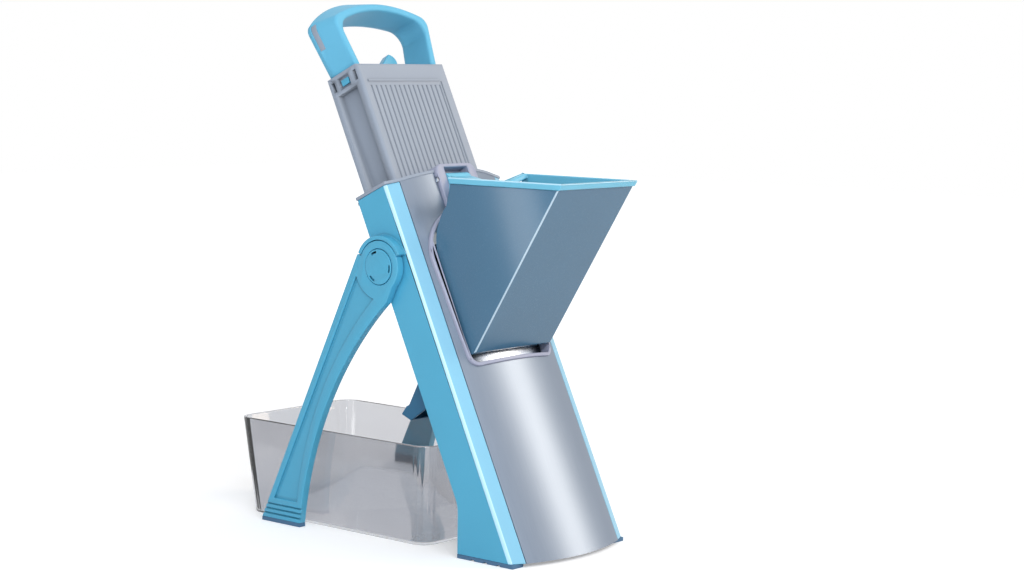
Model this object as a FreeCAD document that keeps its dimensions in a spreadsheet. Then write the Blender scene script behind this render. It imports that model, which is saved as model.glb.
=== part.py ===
import FreeCAD, Part
import math
import os
import re

import Sketcher
from FreeCAD import Placement, Rotation, Vector

# Driving dimensions, in millimetres and degrees.
# Depth is counted from the front seam towards the back, rise along the leaning body from the ground.
SIZES = {
    "lean_angle": 25.5,
    "body_width": 127,
    "body_length": 293,
    "side_depth": 35.3,
    "side_wall": 2.4,
    "bevel_width": 11,
    "bevel_depth": 5,
    "ledge_width": 2.5,
    "rear_flange": 9.5,
    "heel_reach": 57,
    "heel_radius": 24,
    "pad_height": 3,
    "pad_width": 12,
    "base_sheet": 3.2,
    "seam_gap": 0.2,
    "running_gap": 0.06,
    "free_gap": 0.5,
    "panel_bulge": 9,
    "panel_sheet": 2,
    "panel_arch": 3,
    "collar_sheet": 2.4,
    "collar_overhang": 0.6,
    "opening_low": 147.5,
    "opening_side": 3.5,
    "opening_taper": 2.8,
    "shoulder_drop": 63,
    "opening_drop": 27,
    "opening_corner": 9,
    "opening_shoulder": 37,
    "bezel_wall": 2.6,
    "bezel_proud": 1.8,
    "bezel_back": 6.6,
    "bracket_half": 21.5,
    "bracket_over": 8.5,
    "bracket_front": 10.5,
    "bracket_back": 5,
    "bracket_corner": 7,
    "recess_half": 13,
    "recess_floor": 1.5,
    "recess_roof": 2.8,
    "hinge_front": 7,
    "hinge_drop": 3,
    "hinge_pin": 2,
    "hinge_hub": 4.8,
    "chute_gap": 0.6,
    "chute_wall": 1.6,
    "liner_wall": 1.5,
    "rim_over": 4.54,
    "rim_reach": 130.5,
    "rim_rear": 36,
    "rim_band": 5,
    "rim_proud": 0.9,
    "chute_foot_front": 8,
    "chute_foot_back": 2.5,
    "chute_foot_up": 9.5,
    "chute_back_drop": 65,
    "chute_neck_front": 26,
    "chute_neck_drop": 30,
    "chute_neck_radius": 40,
    "slider_inset": 16,
    "slider_front": 8,
    "slider_back": 41,
    "slider_up": 98,
    "rail_drop": 106,
    "slider_stroke": 90,
    "plate_sheet": 3,
    "channel_depth": 5,
    "web_wall": 2,
    "front_flange": 6.5,
    "back_flange": 5.5,
    "box_height": 135,
    "block_height": 15,
    "rib_count": 16,
    "rib_left": 2.5,
    "rib_right": 6.5,
    "rib_groove": 1.5,
    "rib_depth": 0.9,
    "guide_gap": 0.5,
    "guide_wall": 2,
    "guide_rib": 2.7,
    "guide_front": 7.2,
    "window_low": 62,
    "housing_back": 47,
    "housing_wall": 2.2,
    "flange_inset": 3.5,
    "exit_inset": 5.5,
    "exit_low": 62,
    "exit_margin": 16,
    "hood_side": 4,
    "hood_wall": 2.4,
    "hood_rise": 158,
    "hood_reach": 76,
    "hood_drop": 14.7,
    "hood_nose": 10,
    "hood_tip": 7,
    "hood_tip_drop": 18.5,
    "hood_mouth": 26,
    "hood_foot": 22,
    "rod_inset": 9.5,
    "rod_depth": 35.2,
    "rod_radius": 1.5,
    "rod_clear": 2,
    "rod_drop": 8,
    "rod_shelf": 6,
    "spring_radius": 2.6,
    "spring_wire": 1,
    "spring_turns": 14,
    "handle_front": 12,
    "handle_back": 40,
    "grip_front_inset": 3,
    "grip_front_flare": 6.5,
    "grip_front_rise": 39,
    "grip_front_bow": 11.5,
    "grip_back_inset": 0.2,
    "grip_back_flare": 9.5,
    "grip_back_rise": 41,
    "grip_back_bow": 22.5,
    "grip_corner": 9,
    "hole_front_inset": 8.8,
    "hole_front_flare": 6.8,
    "hole_front_rise": 34.5,
    "hole_front_bow": 11,
    "hole_back_inset": 12,
    "hole_back_flare": 9.5,
    "hole_back_rise": 36,
    "hole_back_bow": 6.8,
    "hole_corner": 11,
    "handle_nose": 1.6,
    "handle_round": 5,
    "lock_slot": 20.4,
    "lock_slot_back": 23.6,
    "lock_brim": 1.9,
    "lock_half": 9,
    "lock_side": 5,
    "lock_peak": 2,
    "lock_height": 12,
    "lock_round": 7.2,
    "lock_toe": 3,
    "lock_stem": 6,
    "lock_travel": 6,
    "lock_sunk": 4.6,
    "stripe_depth": 29.5,
    "stripe_width": 5,
    "stripe_low": 21,
    "stripe_turn": 28,
    "stripe_sunk": 0.8,
    "stripe_proud": 0.15,
    "latch_depth": 25.2,
    "latch_half": 4,
    "latch_pocket": 6,
    "latch_margin": 1.6,
    "latch_sunk": 2.6,
    "slot_wide": 3.2,
    "slot_tall": 8,
    "slot_sunk": 6,
    "lip_edge": 4.2,
    "lip_sheet": 1.2,
    "lip_height": 12.5,
    "blade_reach": 12.5,
    "blade_lap": 12,
    "blade_sheet": 1.2,
    "blade_vee": 6,
    "slice_rest": 4.3,
    "slice_travel": 8,
    "thickness_sheet": 2,
    "bed_drop": 3,
    "bed_gap": 3.5,
    "bed_pin_up": 10,
    "thickness_pin_depth": 24.5,
    "comb_drop": 9,
    "comb_height": 6,
    "comb_depth": 23.4,
    "comb_bar": 3,
    "comb_tip": 11,
    "comb_teeth": 9,
    "comb_pitch": 8,
    "comb_tooth": 1,
    "comb_travel": 5,
    "comb_pin_up": 6,
    "drive_pin": 1.5,
    "rail_inset": 10.9,
    "rail_sheet": 2,
    "rail_front": 9,
    "rail_back": 29.5,
    "stud_depth": 15.4,
    "dial_depth": 20,
    "dial_radius": 12,
    "dial_back": 2.6,
    "thickness_dial_drop": 50,
    "strip_dial_drop": 72,
    "crank_disc": 7.6,
    "hub_depth": 29.3,
    "hub_drop": 53.7,
    "hub_radius": 19,
    "hub_pin": 9,
    "guard_gap": 0.6,
    "guard_wall": 3,
    "leg_gap": 0.8,
    "leg_thick": 6.4,
    "leg_foot_front": 209.7,
    "leg_foot_back": 250.6,
    "leg_bow": 284,
    "leg_rim": 5,
    "leg_recess": 2,
    "leg_web_low": 19,
    "cap_radius": 12.8,
    "cap_sheet": 1.4,
    "bin_inset": 2.5,
    "bin_front": 90,
    "bin_back": 289,
    "bin_height": 75,
    "bin_wall": 2,
    "bin_taper": 7,
    "bin_corner": 12,
    "stud_inset": 5,
    "slider_round": 2.4,
}

# Places that follow from the sizes above, so that the pieces keep together when one changes.
PLACES = {
    "opening_wide": "body_width/2-bevel_width-seam_gap-opening_side",
    "opening_half": "opening_wide-opening_taper",
    "opening_shoulder_rise": "body_length-shoulder_drop",
    "opening_top": "body_length-opening_drop",
    "bracket_top": "body_length+bracket_over",
    "hinge_rise": "body_length-hinge_drop",
    "chute_half": "opening_half-bezel_wall-seam_gap-chute_gap",
    "rim_height": "body_length*cos(lean_angle)+rim_over",
    "chute_foot_rise": "opening_low+chute_foot_up",
    "chute_back_rise": "body_length-chute_back_drop",
    "chute_neck_rise": "body_length-chute_neck_drop",
    "slider_half": "body_width/2-slider_inset",
    "web_half": "slider_half-channel_depth",
    "slider_top": "body_length+slider_up",
    "box_low": "slider_top-box_height",
    "slider_low": "box_low-rail_drop",
    "rib_first": "web_half-rib_left",
    "rib_last": "web_half-rib_right",
    "housing_flange": "body_width/2-flange_inset",
    "exit_half": "slider_half-exit_inset",
    "exit_high": "rod_foot-exit_margin",
    "hood_half": "exit_half+hood_side",
    "rod_half": "web_half-rod_inset",
    "rod_foot": "slider_low+rod_shelf+rod_clear",
    "rod_top": "body_length-rod_drop",
    "blade_low": "box_low-blade_reach",
    "blade_high": "box_low+blade_lap",
    "thickness_low": "slider_low-bed_drop",
    "thickness_high": "blade_low-bed_gap",
    "thickness_pin_rise": "slider_low+bed_pin_up",
    "comb_low": "thickness_high-comb_drop",
    "comb_pin_rise": "box_low+comb_pin_up",
    "thickness_dial_rise": "thickness_pin_rise-thickness_dial_drop",
    "strip_dial_rise": "comb_pin_rise-strip_dial_drop",
    "hub_rise": "body_length-hub_drop",
    "bin_half": "body_width/2-bin_inset",
}

# The handle is a stack of loops, from its nose at the front to its tail at the back, drawn in at both ends
# so that its edges are round. A loop has flaring sides, a bowed head and corners that meet both smoothly.
# Its heights are counted from the slider's top.
ROUNDING = 1 - math.sqrt(0.5)
HANDLE_LEVELS = {
    "nose": ("handle_front", "handle_nose"),
    "brow": (f"handle_front+{ROUNDING}*handle_nose", f"{ROUNDING}*handle_nose"),
    "lead": ("handle_front+handle_nose", "0"),
    "rear": ("handle_back-handle_round", "0"),
    "heel": (f"handle_back-{ROUNDING}*handle_round", f"{ROUNDING}*handle_round"),
    "tail": ("handle_back", "handle_round"),
}


def loop_places(ring, loop, depth, inset):
    """Where one loop's straight sides, round corners and bowed head begin and end."""
    back = f"(({depth}-handle_front)/(handle_back-handle_front))"
    flare, rise, bow, shift = [f"({ring}_front_{size}+({ring}_back_{size}-{ring}_front_{size})*{back})"
                               for size in ("flare", "rise", "bow", "inset")]
    slant = f"({loop}_qx*{flare}+{loop}_qz*{loop}_rise)/{loop}_side"
    grown = f"{loop}_head/({loop}_head-{loop}_corner)"
    return {
        f"{loop}_foot": f"slider_half-{shift}{inset}",
        f"{loop}_rise": f"{rise}{inset}",
        f"{loop}_corner": f"{ring}_corner{inset}",
        f"{loop}_side": f"sqrt({flare}^2+{loop}_rise^2)",
        f"{loop}_head": f"(({loop}_foot+{flare})^2+{bow}^2)/(2*{bow})",
        f"{loop}_mid": f"{loop}_rise+{bow}-{loop}_head",
        f"{loop}_qx": f"{loop}_foot-{loop}_corner*{loop}_rise/{loop}_side",
        f"{loop}_qz": f"{loop}_corner*{flare}/{loop}_side-{loop}_mid",
        f"{loop}_run": f"sqrt(({slant})^2-{loop}_qx^2-{loop}_qz^2+({loop}_head-{loop}_corner)^2)-{slant}",
        f"{loop}_low_x": f"{loop}_foot+{loop}_run*{flare}/{loop}_side",
        f"{loop}_low_z": f"{loop}_run*{loop}_rise/{loop}_side",
        f"{loop}_lean": f"{flare}/{loop}_rise",
        f"{loop}_arc_x": f"{loop}_qx+{loop}_run*{flare}/{loop}_side",
        f"{loop}_arc_z": f"{loop}_mid+{loop}_qz+{loop}_low_z",
        f"{loop}_high_x": f"{loop}_arc_x*{grown}",
        f"{loop}_high_z": f"{loop}_mid+({loop}_qz+{loop}_low_z)*{grown}",
    }


for ring, drawn_in in (("grip", "-"), ("hole", "+")):
    for level, (depth, inset) in HANDLE_LEVELS.items():
        PLACES.update(loop_places(ring, f"{ring}_{level}", depth, f"{drawn_in}{inset}"))
PLACES.update(loop_places("grip", "stripe", "stripe_depth+stripe_width/2", "-0"))

doc = FreeCAD.newDocument("MandolineSlicer")
sheet = doc.addObject("Spreadsheet::Sheet", "Sizes")
cells = {alias: str(value) for alias, value in SIZES.items()}
cells.update({alias: f"={rule}" for alias, rule in PLACES.items()})
for line, alias in enumerate(cells, 1):
    sheet.set(f"A{line}", alias)
    sheet.setAlias(f"B{line}", alias)
for line, content in enumerate(cells.values(), 1):
    sheet.set(f"B{line}", content)
doc.recompute()

# Values that several pieces share, as expressions over the sheet.
HALF = "body_width/2"
SEAM = "(body_width/2-bevel_width)"
INNER = "(body_width/2-side_wall)"
LEDGE_BACK = "(panel_sheet+seam_gap+side_wall)"
PANEL_HALF = f"({SEAM}-seam_gap)"
PANEL_RADIUS = f"(({PANEL_HALF}^2+panel_bulge^2)/(2*panel_bulge))"
BEVEL_BACK = f"{LEDGE_BACK}+(bevel_width-side_wall)*bevel_depth/bevel_width"
BLOCK_LOW = "(slider_top-block_height)"
BLADE_FRONT = "(slider_front+plate_sheet)"
PLATE_FRONT = f"({BLADE_FRONT}+blade_sheet+slice_rest)"
WEB_IN = "(web_half-web_wall)"
GUIDE_IN = "(slider_half+guide_gap)"
GUIDE_BACK = "(slider_back-back_flange-guide_gap)"
RAIL_OUT = f"({INNER}-rail_inset+rail_sheet)"
RAIL_IN = f"({INNER}-rail_inset)"
BASE_TOP = "(pad_height+base_sheet)"
HUB_Y = "(hub_rise*sin(lean_angle)+hub_depth*cos(lean_angle))"
HUB_Z = "(hub_rise*cos(lean_angle)-hub_depth*sin(lean_angle))"
LEG_IN = f"({HALF}+leg_gap)"
LEG_OUT = f"({HALF}+leg_gap+leg_thick)"


def bound(expression):
    """The expression with every size name pointing at its cell."""
    return re.sub(r"[a-z_]+", lambda m: f"Sizes.{m[0]}" if m[0] in cells else m[0], str(expression))


def number(expression):
    """The present value of an expression over the sheet."""
    value = sheet.evalExpression(bound(expression))
    return float(getattr(value, "Value", value))


def ground(depth, height="pad_height"):
    """Rise at which a level height above the ground is met at a depth."""
    return f"(({height})/cos(lean_angle)+({depth})*tan(lean_angle))"


def rim_rise(front):
    """Rise of the level chute rim at a distance in front of the seam."""
    return f"((rim_height-({front})*sin(lean_angle))/cos(lean_angle))"


class Arc:
    """An outline's arc to (x, y); a positive side bulges to the right of the way travelled."""

    def __init__(self, x, y, radius, side=1):
        self.x = x
        self.y = y
        self.radius = radius
        self.side = side


class Circle:
    """A whole circle as an outline."""

    def __init__(self, x, y, radius):
        self.x = x
        self.y = y
        self.radius = radius


def fix(sketch, kind, *where, to):
    """Adds a measured constraint and binds it to the sheet."""
    index = sketch.addConstraint(Sketcher.Constraint(kind, *where, number(to)))
    sketch.setExpression(f"Constraints[{index}]", bound(to))


def draw_circle(sketch, circle):
    centre = Vector(number(circle.x), number(circle.y), 0)
    geo = sketch.addGeometry(Part.Circle(centre, Vector(0, 0, 1), number(circle.radius)))
    fix(sketch, "Radius", geo, to=circle.radius)
    fix(sketch, "DistanceX", -1, 1, geo, 3, to=circle.x)
    fix(sketch, "DistanceY", -1, 1, geo, 3, to=circle.y)


def arc_middle(start, end, radius, side):
    chord = end - start
    right = Vector(chord.y, -chord.x, 0).normalize()
    rise = radius - math.sqrt(radius**2 - chord.Length**2 / 4)
    return (start + end) * 0.5 + right * (rise * side)


def draw_outline(sketch, outline):
    """A closed loop of lines and arcs, each corner held by its two coordinates."""
    if isinstance(outline, Circle):
        draw_circle(sketch, outline)
        return
    ends = [(step.x, step.y) if isinstance(step, Arc) else step for step in outline]
    corners = [Vector(number(x), number(y), 0) for x, y in ends]
    count = len(corners)
    edges = []
    for i, step in enumerate(outline):
        start, end = corners[i - 1], corners[i]
        if isinstance(step, Arc):
            middle = arc_middle(start, end, number(step.radius), step.side)
            edges.append(sketch.addGeometry(Part.Arc(start, middle, end)))
        else:
            edges.append(sketch.addGeometry(Part.LineSegment(start, end)))

    def tip(edge, corner):
        near = (sketch.getPoint(edge, 1) - corner).Length < (sketch.getPoint(edge, 2) - corner).Length
        return 1 if near else 2

    tips = [(tip(edges[i], corners[i]), tip(edges[(i + 1) % count], corners[i])) for i in range(count)]
    for i in range(count):
        following = edges[(i + 1) % count]
        sketch.addConstraint(Sketcher.Constraint("Coincident", edges[i], tips[i][0], following, tips[i][1]))
    for i, (x, y) in enumerate(ends):
        fix(sketch, "DistanceX", -1, 1, edges[i], tips[i][0], to=x)
        fix(sketch, "DistanceY", -1, 1, edges[i], tips[i][0], to=y)
        if isinstance(outline[i], Arc):
            fix(sketch, "Radius", edges[i], to=outline[i].radius)


def new_sketch(body, plane, level, outlines):
    sketch = body.newObject("Sketcher::SketchObject", "Outline")
    sketch.AttachmentSupport = [(next(f for f in body.Origin.OriginFeatures if f.Role == plane), "")]
    sketch.MapMode = "FlatFace"
    sketch.setExpression("AttachmentOffset.Base.z", bound(level))
    for outline in outlines:
        draw_outline(sketch, outline)
    return sketch


def pad(body, plane, span, *outlines):
    """Adds the outlines' solid between two levels of the plane's axis."""
    low, high = span
    level = f"-({high})" if plane == "XZ_Plane" else low
    feature = body.newObject("PartDesign::Pad", "Pad")
    feature.Profile = new_sketch(body, plane, level, outlines)
    feature.setExpression("Length", bound(f"({high})-({low})"))
    doc.recompute()
    return feature


def cut(body, plane, span, *outlines):
    """Takes the outlines' solid away between two levels, and makes sure that it met the piece."""
    low, high = span
    before = body.Shape.Volume
    level = f"-({low})" if plane == "XZ_Plane" else high
    feature = body.newObject("PartDesign::Pocket", "Pocket")
    feature.Profile = new_sketch(body, plane, level, outlines)
    feature.setExpression("Length", bound(f"({high})-({low})"))
    doc.recompute()
    if not body.Shape.Volume < before:
        raise RuntimeError(f"a cut misses {body.Label}")
    return feature


def row(body, feature, direction, length, count):
    """Repeats a feature in a row along its sketch's own direction."""
    pattern = body.newObject("PartDesign::LinearPattern", "Row")
    pattern.Originals = [feature]
    pattern.Direction = (feature.Profile[0], [direction])
    pattern.setExpression("Length", bound(length))
    pattern.setExpression("Occurrences", bound(count))
    body.Tip = pattern
    doc.recompute()


def dress_edges(body, kind, size, wanted):
    """Rounds (Fillet) or bevels (Chamfer) the edges that a test picks out."""
    base = body.Tip
    names = [f"Edge{i}" for i, edge in enumerate(base.Shape.Edges, 1) if wanted(edge)]
    feature = body.newObject(f"PartDesign::{kind}", kind)
    feature.Base = (base, names)
    feature.setExpression("Radius" if kind == "Fillet" else "Size", bound(size))
    doc.recompute()


def block(x_low, x_high, y_low, y_high):
    return [(x_low, y_low), (x_high, y_low), (x_high, y_high), (x_low, y_high)]


def slot(x, y, along_x, along_y):
    """A square-ended slot round a middle point."""
    return block(f"({x})-({along_x})", f"({x})+({along_x})", f"({y})-({along_y})", f"({y})+({along_y})")


def mirrored(outline):
    """The outline turned over to the other side of the middle plane."""
    turned = []
    for step in outline:
        if isinstance(step, Arc):
            turned.append(Arc(f"-({step.x})", step.y, step.radius, -step.side))
        else:
            turned.append((f"-({step[0]})", step[1]))
    return turned


SIDES = {"left": -1, "right": 1}
parts = []


def piece(label, leaning=True):
    """A new sub-part, leaning back with the body or standing square to the ground."""
    body = doc.addObject("PartDesign::Body", label)
    body.Label = label
    if leaning:
        body.Placement = Placement(Vector(), Rotation(Vector(-1, 0, 0), number("lean_angle")))
    parts.append(body)
    return body


def across(side, near, far):
    """The span between two distances from the middle plane, on one side of it."""
    return (near, far) if side > 0 else (f"-({far})", f"-({near})")


def to_side(side, outline):
    return outline if side > 0 else mirrored(outline)


# Side panels: hollow shells with a bevelled front, a heel and a guard round the leg's hub.
GUARD_IN = "(hub_radius+guard_gap)"
GUARD_OUT = f"({GUARD_IN}+guard_wall)"
GUARD_START = 48.5
GUARD_END = 178.5
HUB_BOSS = f"({LEG_OUT}-cap_sheet+0.45)"


def on_hub(radius, angle):
    return f"hub_depth+{radius}*cos({angle})", f"hub_rise+{radius}*sin({angle})"


def side_panel(name, side):
    body = piece(f"side_panel_{name}")
    heel_depth = "heel_reach*cos(lean_angle)-pad_height*sin(lean_angle)"
    heel_rise = "heel_reach*sin(lean_angle)+pad_height*cos(lean_angle)"
    heel_top = "(heel_reach-side_depth*cos(lean_angle))/sin(lean_angle)"
    soft = "heel_radius*tan(lean_angle/2)"
    ledge_in = f"({SEAM}-ledge_width)"
    slope = "bevel_depth/bevel_width"
    pad(body, "YZ_Plane", across(side, ledge_in, HALF), [
        ("0", ground("0")), ("0", "body_length"), ("side_depth", "body_length"),
        ("side_depth", f"{heel_top}+{soft}"),
        Arc(f"side_depth+{soft}*sin(lean_angle)", f"{heel_top}-{soft}*cos(lean_angle)", "heel_radius"),
        (heel_depth, heel_rise)])
    whole = ("-20", "body_length+20")
    cut(body, "XY_Plane", whole, to_side(side, [
        (SEAM, "0"), (SEAM, "-1"), (f"{HALF}+1", "-1"), (f"{HALF}+1", f"(bevel_width+1)*{slope}")]))
    cut(body, "XY_Plane", whole, to_side(side, block(
        f"{ledge_in}-1", SEAM, "-1", "panel_sheet+seam_gap")))
    flange_in = f"({HALF}-rear_flange)"
    cut(body, "XY_Plane", whole, to_side(side, [
        (f"{ledge_in}-1", LEDGE_BACK), (SEAM, LEDGE_BACK),
        (INNER, BEVEL_BACK), (INNER, "side_depth-side_wall"),
        (flange_in, "side_depth-side_wall"), (flange_in, "2*heel_reach"), (f"{ledge_in}-1", "2*heel_reach")]))
    cut(body, "YZ_Plane", across(side, f"{ledge_in}-1", INNER), block(
        "side_depth", "2*heel_reach", "-20", f"{heel_top}+heel_radius"))
    pad(body, "YZ_Plane", across(side, INNER, HALF), Circle("hub_depth", "hub_rise", GUARD_OUT))
    pad(body, "YZ_Plane", across(side, HALF, LEG_OUT), [
        on_hub(GUARD_OUT, GUARD_START), Arc(*on_hub(GUARD_OUT, GUARD_END), GUARD_OUT, 1),
        on_hub(GUARD_IN, GUARD_END), Arc(*on_hub(GUARD_IN, GUARD_START), GUARD_IN, -1)])
    pad(body, "YZ_Plane", across(side, HALF, HUB_BOSS), Circle("hub_depth", "hub_rise", "hub_pin"))
    return body


for name, side in SIDES.items():
    panel = side_panel(name, side)
    if name == "right":
        for rise in ("thickness_dial_rise", "strip_dial_rise"):
            cut(panel, "YZ_Plane", (f"{INNER}-2*dial_back", f"{HALF}+1"),
                Circle("dial_depth", rise, "dial_radius+running_gap"))


# Front panel: a bowed silver sheet with the feed opening and a notch for the chute's bracket.
def opening(inset, top, notch=False):
    """The feed opening's outline, drawn in by an inset all round."""
    low = f"(opening_low+{inset})"
    half = f"(opening_half-{inset})"
    corner = f"(opening_corner-{inset})"
    wide = f"(opening_wide-{inset})"
    neck = "(bracket_half+seam_gap)"
    shoulder = f"(opening_shoulder-{inset})"
    head = [(neck, f"2*body_length"), (f"-{neck}", f"2*body_length"), (f"-{neck}", top)]
    return [
        (f"{half}-{corner}", low), Arc(half, f"{low}+{corner}", corner),
        (wide, "opening_shoulder_rise"), Arc(neck, top, shoulder),
        *(head if notch else [(f"-{neck}", top)]),
        Arc(f"-{wide}", "opening_shoulder_rise", shoulder), (f"-{half}", f"{low}+{corner}"),
        Arc(f"-{half}+{corner}", low, corner)]


def arch(level):
    """The arched line along the body's top edge, from right to left."""
    radius = f"(({PANEL_HALF}^2+panel_arch^2)/(2*panel_arch))"
    return [(PANEL_HALF, level), Arc(f"-{PANEL_HALF}", level, radius)]


front = piece("front_panel")
pad(front, "XY_Plane", ("-20", "body_length+panel_arch"), [
    (f"-{PANEL_HALF}", "0"), Arc(PANEL_HALF, "0", PANEL_RADIUS), (PANEL_HALF, "panel_sheet"),
    Arc(f"-{PANEL_HALF}", "panel_sheet", PANEL_RADIUS, -1)])
cut(front, "YZ_Plane", (f"-{HALF}", HALF), [
    ("-2*panel_bulge", ground("-2*panel_bulge")), ("-2*panel_bulge", "-40"),
    ("10", "-40"), ("10", ground("10"))])
cut(front, "XZ_Plane", ("-2*panel_bulge", "10"), [
    (HALF, "body_length+20"), (HALF, "body_length"), *arch("body_length"),
    (f"-{HALF}", "body_length"), (f"-{HALF}", "body_length+20")])
cut(front, "XZ_Plane", ("-2*panel_bulge", "10"), opening("0", "opening_top", notch=True))

# Bezel: the throat of the feed opening, with a bead that stands proud of the bowed panel.
bezel = piece("opening_bezel")
BEZEL_OUT = "seam_gap"
BEZEL_IN = "(seam_gap+bezel_wall)"
pad(bezel, "XZ_Plane", ("-2*panel_bulge", "bezel_back"),
    opening(BEZEL_OUT, "opening_top-seam_gap"), opening(BEZEL_IN, "opening_top-seam_gap-bezel_wall"))
bead_radius = f"({PANEL_RADIUS}+bezel_proud)"
bead_edge = f"({PANEL_RADIUS}-panel_bulge-sqrt({bead_radius}^2-{PANEL_HALF}^2))"
cut(bezel, "XY_Plane", ("0", "body_length"), [
    (f"-{HALF}", "-4*panel_bulge"), (HALF, "-4*panel_bulge"), (HALF, bead_edge), (PANEL_HALF, bead_edge),
    Arc(f"-{PANEL_HALF}", bead_edge, bead_radius, -1), (f"-{HALF}", bead_edge)])

# Feed lip: a bowed steel strip that closes the opening's foot behind the chute.
lip = piece("feed_lip")
lip_half = f"(opening_half-{BEZEL_IN}-running_gap)"
lip_low = f"(opening_low+{BEZEL_IN}+running_gap)"
pad(lip, "XY_Plane", (lip_low, f"{lip_low}+lip_height"), [
    (f"-{lip_half}", "lip_edge"), Arc(lip_half, "lip_edge", PANEL_RADIUS), (lip_half, "lip_edge+lip_sheet"),
    Arc(f"-{lip_half}", "lip_edge+lip_sheet", PANEL_RADIUS, -1)])
lip_corner = f"(opening_corner-{BEZEL_IN}-running_gap)"
for side in (1, -1):
    cut(lip, "XZ_Plane", ("-panel_bulge", "bezel_back"), [
        (f"{side}*opening_half", "opening_low"), (f"{side}*opening_half", f"{lip_low}+{lip_corner}"),
        (f"{side}*{lip_half}", f"{lip_low}+{lip_corner}"),
        Arc(f"{side}*({lip_half}-{lip_corner})", lip_low, lip_corner, -side),
        (f"{side}*({lip_half}-{lip_corner})", "opening_low")])

# Bracket: the U-shaped block at the top of the panel that holds the chute's hinge pin.
bracket = piece("chute_bracket")
pad(bracket, "XZ_Plane", ("-bracket_front", "bracket_back"), [
    ("-bracket_half", "opening_top+seam_gap"), ("bracket_half", "opening_top+seam_gap"),
    ("bracket_half", "bracket_top-bracket_corner"),
    Arc("bracket_half-bracket_corner", "bracket_top", "bracket_corner"),
    ("-bracket_half+bracket_corner", "bracket_top"),
    Arc("-bracket_half", "bracket_top-bracket_corner", "bracket_corner")])
cut(bracket, "XZ_Plane", ("-bracket_front-1", "-recess_floor"), block(
    "-recess_half", "recess_half", "opening_top-1", "bracket_top-recess_roof"))
cut(bracket, "YZ_Plane", ("-bracket_half-1", "bracket_half+1"), Circle(
    "-hinge_front", "hinge_rise", "hinge_pin+running_gap/2"))

pin = piece("chute_hinge_pin")
pad(pin, "YZ_Plane", ("-bracket_half", "bracket_half"), Circle("-hinge_front", "hinge_rise", "hinge_pin"))

# Top collar: the arched strip that closes the body's top round the slider.
collar = piece("top_collar")
out = f"({HALF}+collar_overhang)"
over = "body_length+collar_sheet"
arch_radius = f"(({PANEL_HALF}^2+panel_arch^2)/(2*panel_arch))"
pad(collar, "XZ_Plane", ("-2*panel_bulge", "housing_back+collar_overhang"), [
    (f"-{out}", over), (f"-{out}", "body_length"), (f"-{PANEL_HALF}", "body_length"),
    Arc(PANEL_HALF, "body_length", arch_radius, -1), (out, "body_length"), (out, over),
    *[(PANEL_HALF, over), Arc(f"-{PANEL_HALF}", over, arch_radius)]])
HOUSING_OUT = f"({GUIDE_IN}+guide_wall+seam_gap)"
cut(collar, "XY_Plane", ("body_length-5", "body_length+20"),
    block("-body_width", "body_width", "-body_width", "body_width"),
    [(f"-{PANEL_HALF}", "-collar_overhang"), Arc(PANEL_HALF, "-collar_overhang", PANEL_RADIUS),
     (out, "bevel_depth-collar_overhang"), (out, "side_depth+collar_overhang"),
     (f"{HOUSING_OUT}+collar_overhang", "side_depth+collar_overhang"),
     (f"{HOUSING_OUT}+collar_overhang", "housing_back+collar_overhang"),
     (f"-{HOUSING_OUT}-collar_overhang", "housing_back+collar_overhang"),
     (f"-{HOUSING_OUT}-collar_overhang", "side_depth+collar_overhang"),
     (f"-{out}", "side_depth+collar_overhang"), (f"-{out}", "bevel_depth-collar_overhang")])
cut(collar, "XY_Plane", ("body_length-5", "body_length+20"),
    block("-slider_half-free_gap", "slider_half+free_gap", "slider_front-free_gap", "slider_back+free_gap"))
cut(collar, "XY_Plane", ("body_length-5", "body_length+20"), block(
    "-bracket_half-seam_gap", "bracket_half+seam_gap", "-4*panel_bulge", "bracket_back+seam_gap"))

# Base plate and rubber pads, square to the ground.
base = piece("base_plate", leaning=False)
base_front = f"(({BEVEL_BACK})/cos(lean_angle)+{BASE_TOP}*tan(lean_angle)+free_gap)"
base_step = "((side_depth-side_wall)/cos(lean_angle)+pad_height*tan(lean_angle)-free_gap)"
base_back = "heel_reach"
base_half = f"({INNER}-seam_gap)"
base_neck = f"({HALF}-rear_flange-seam_gap)"
pad(base, "XY_Plane", ("pad_height", BASE_TOP), [
    (f"-{base_half}", base_front), (base_half, base_front), (base_half, base_step), (base_neck, base_step),
    (base_neck, base_back), (f"-{base_neck}", base_back), (f"-{base_neck}", base_step),
    (f"-{base_half}", base_step)])

for name, side in SIDES.items():
    foot = piece(f"foot_pad_{name}", leaning=False)
    pad_front = "bevel_depth"
    pad(foot, "XY_Plane", ("0", "pad_height"), to_side(side, block(
        f"{HALF}-pad_width", HALF, pad_front, "heel_reach")))
    groove = cut(foot, "YZ_Plane", ("-body_width", "body_width"), block(
        f"{pad_front}+pad_width", f"{pad_front}+pad_width+pad_height", "-1", "pad_height/3"))
    row(foot, groove, "H_Axis", "2*pad_width", 3)

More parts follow.
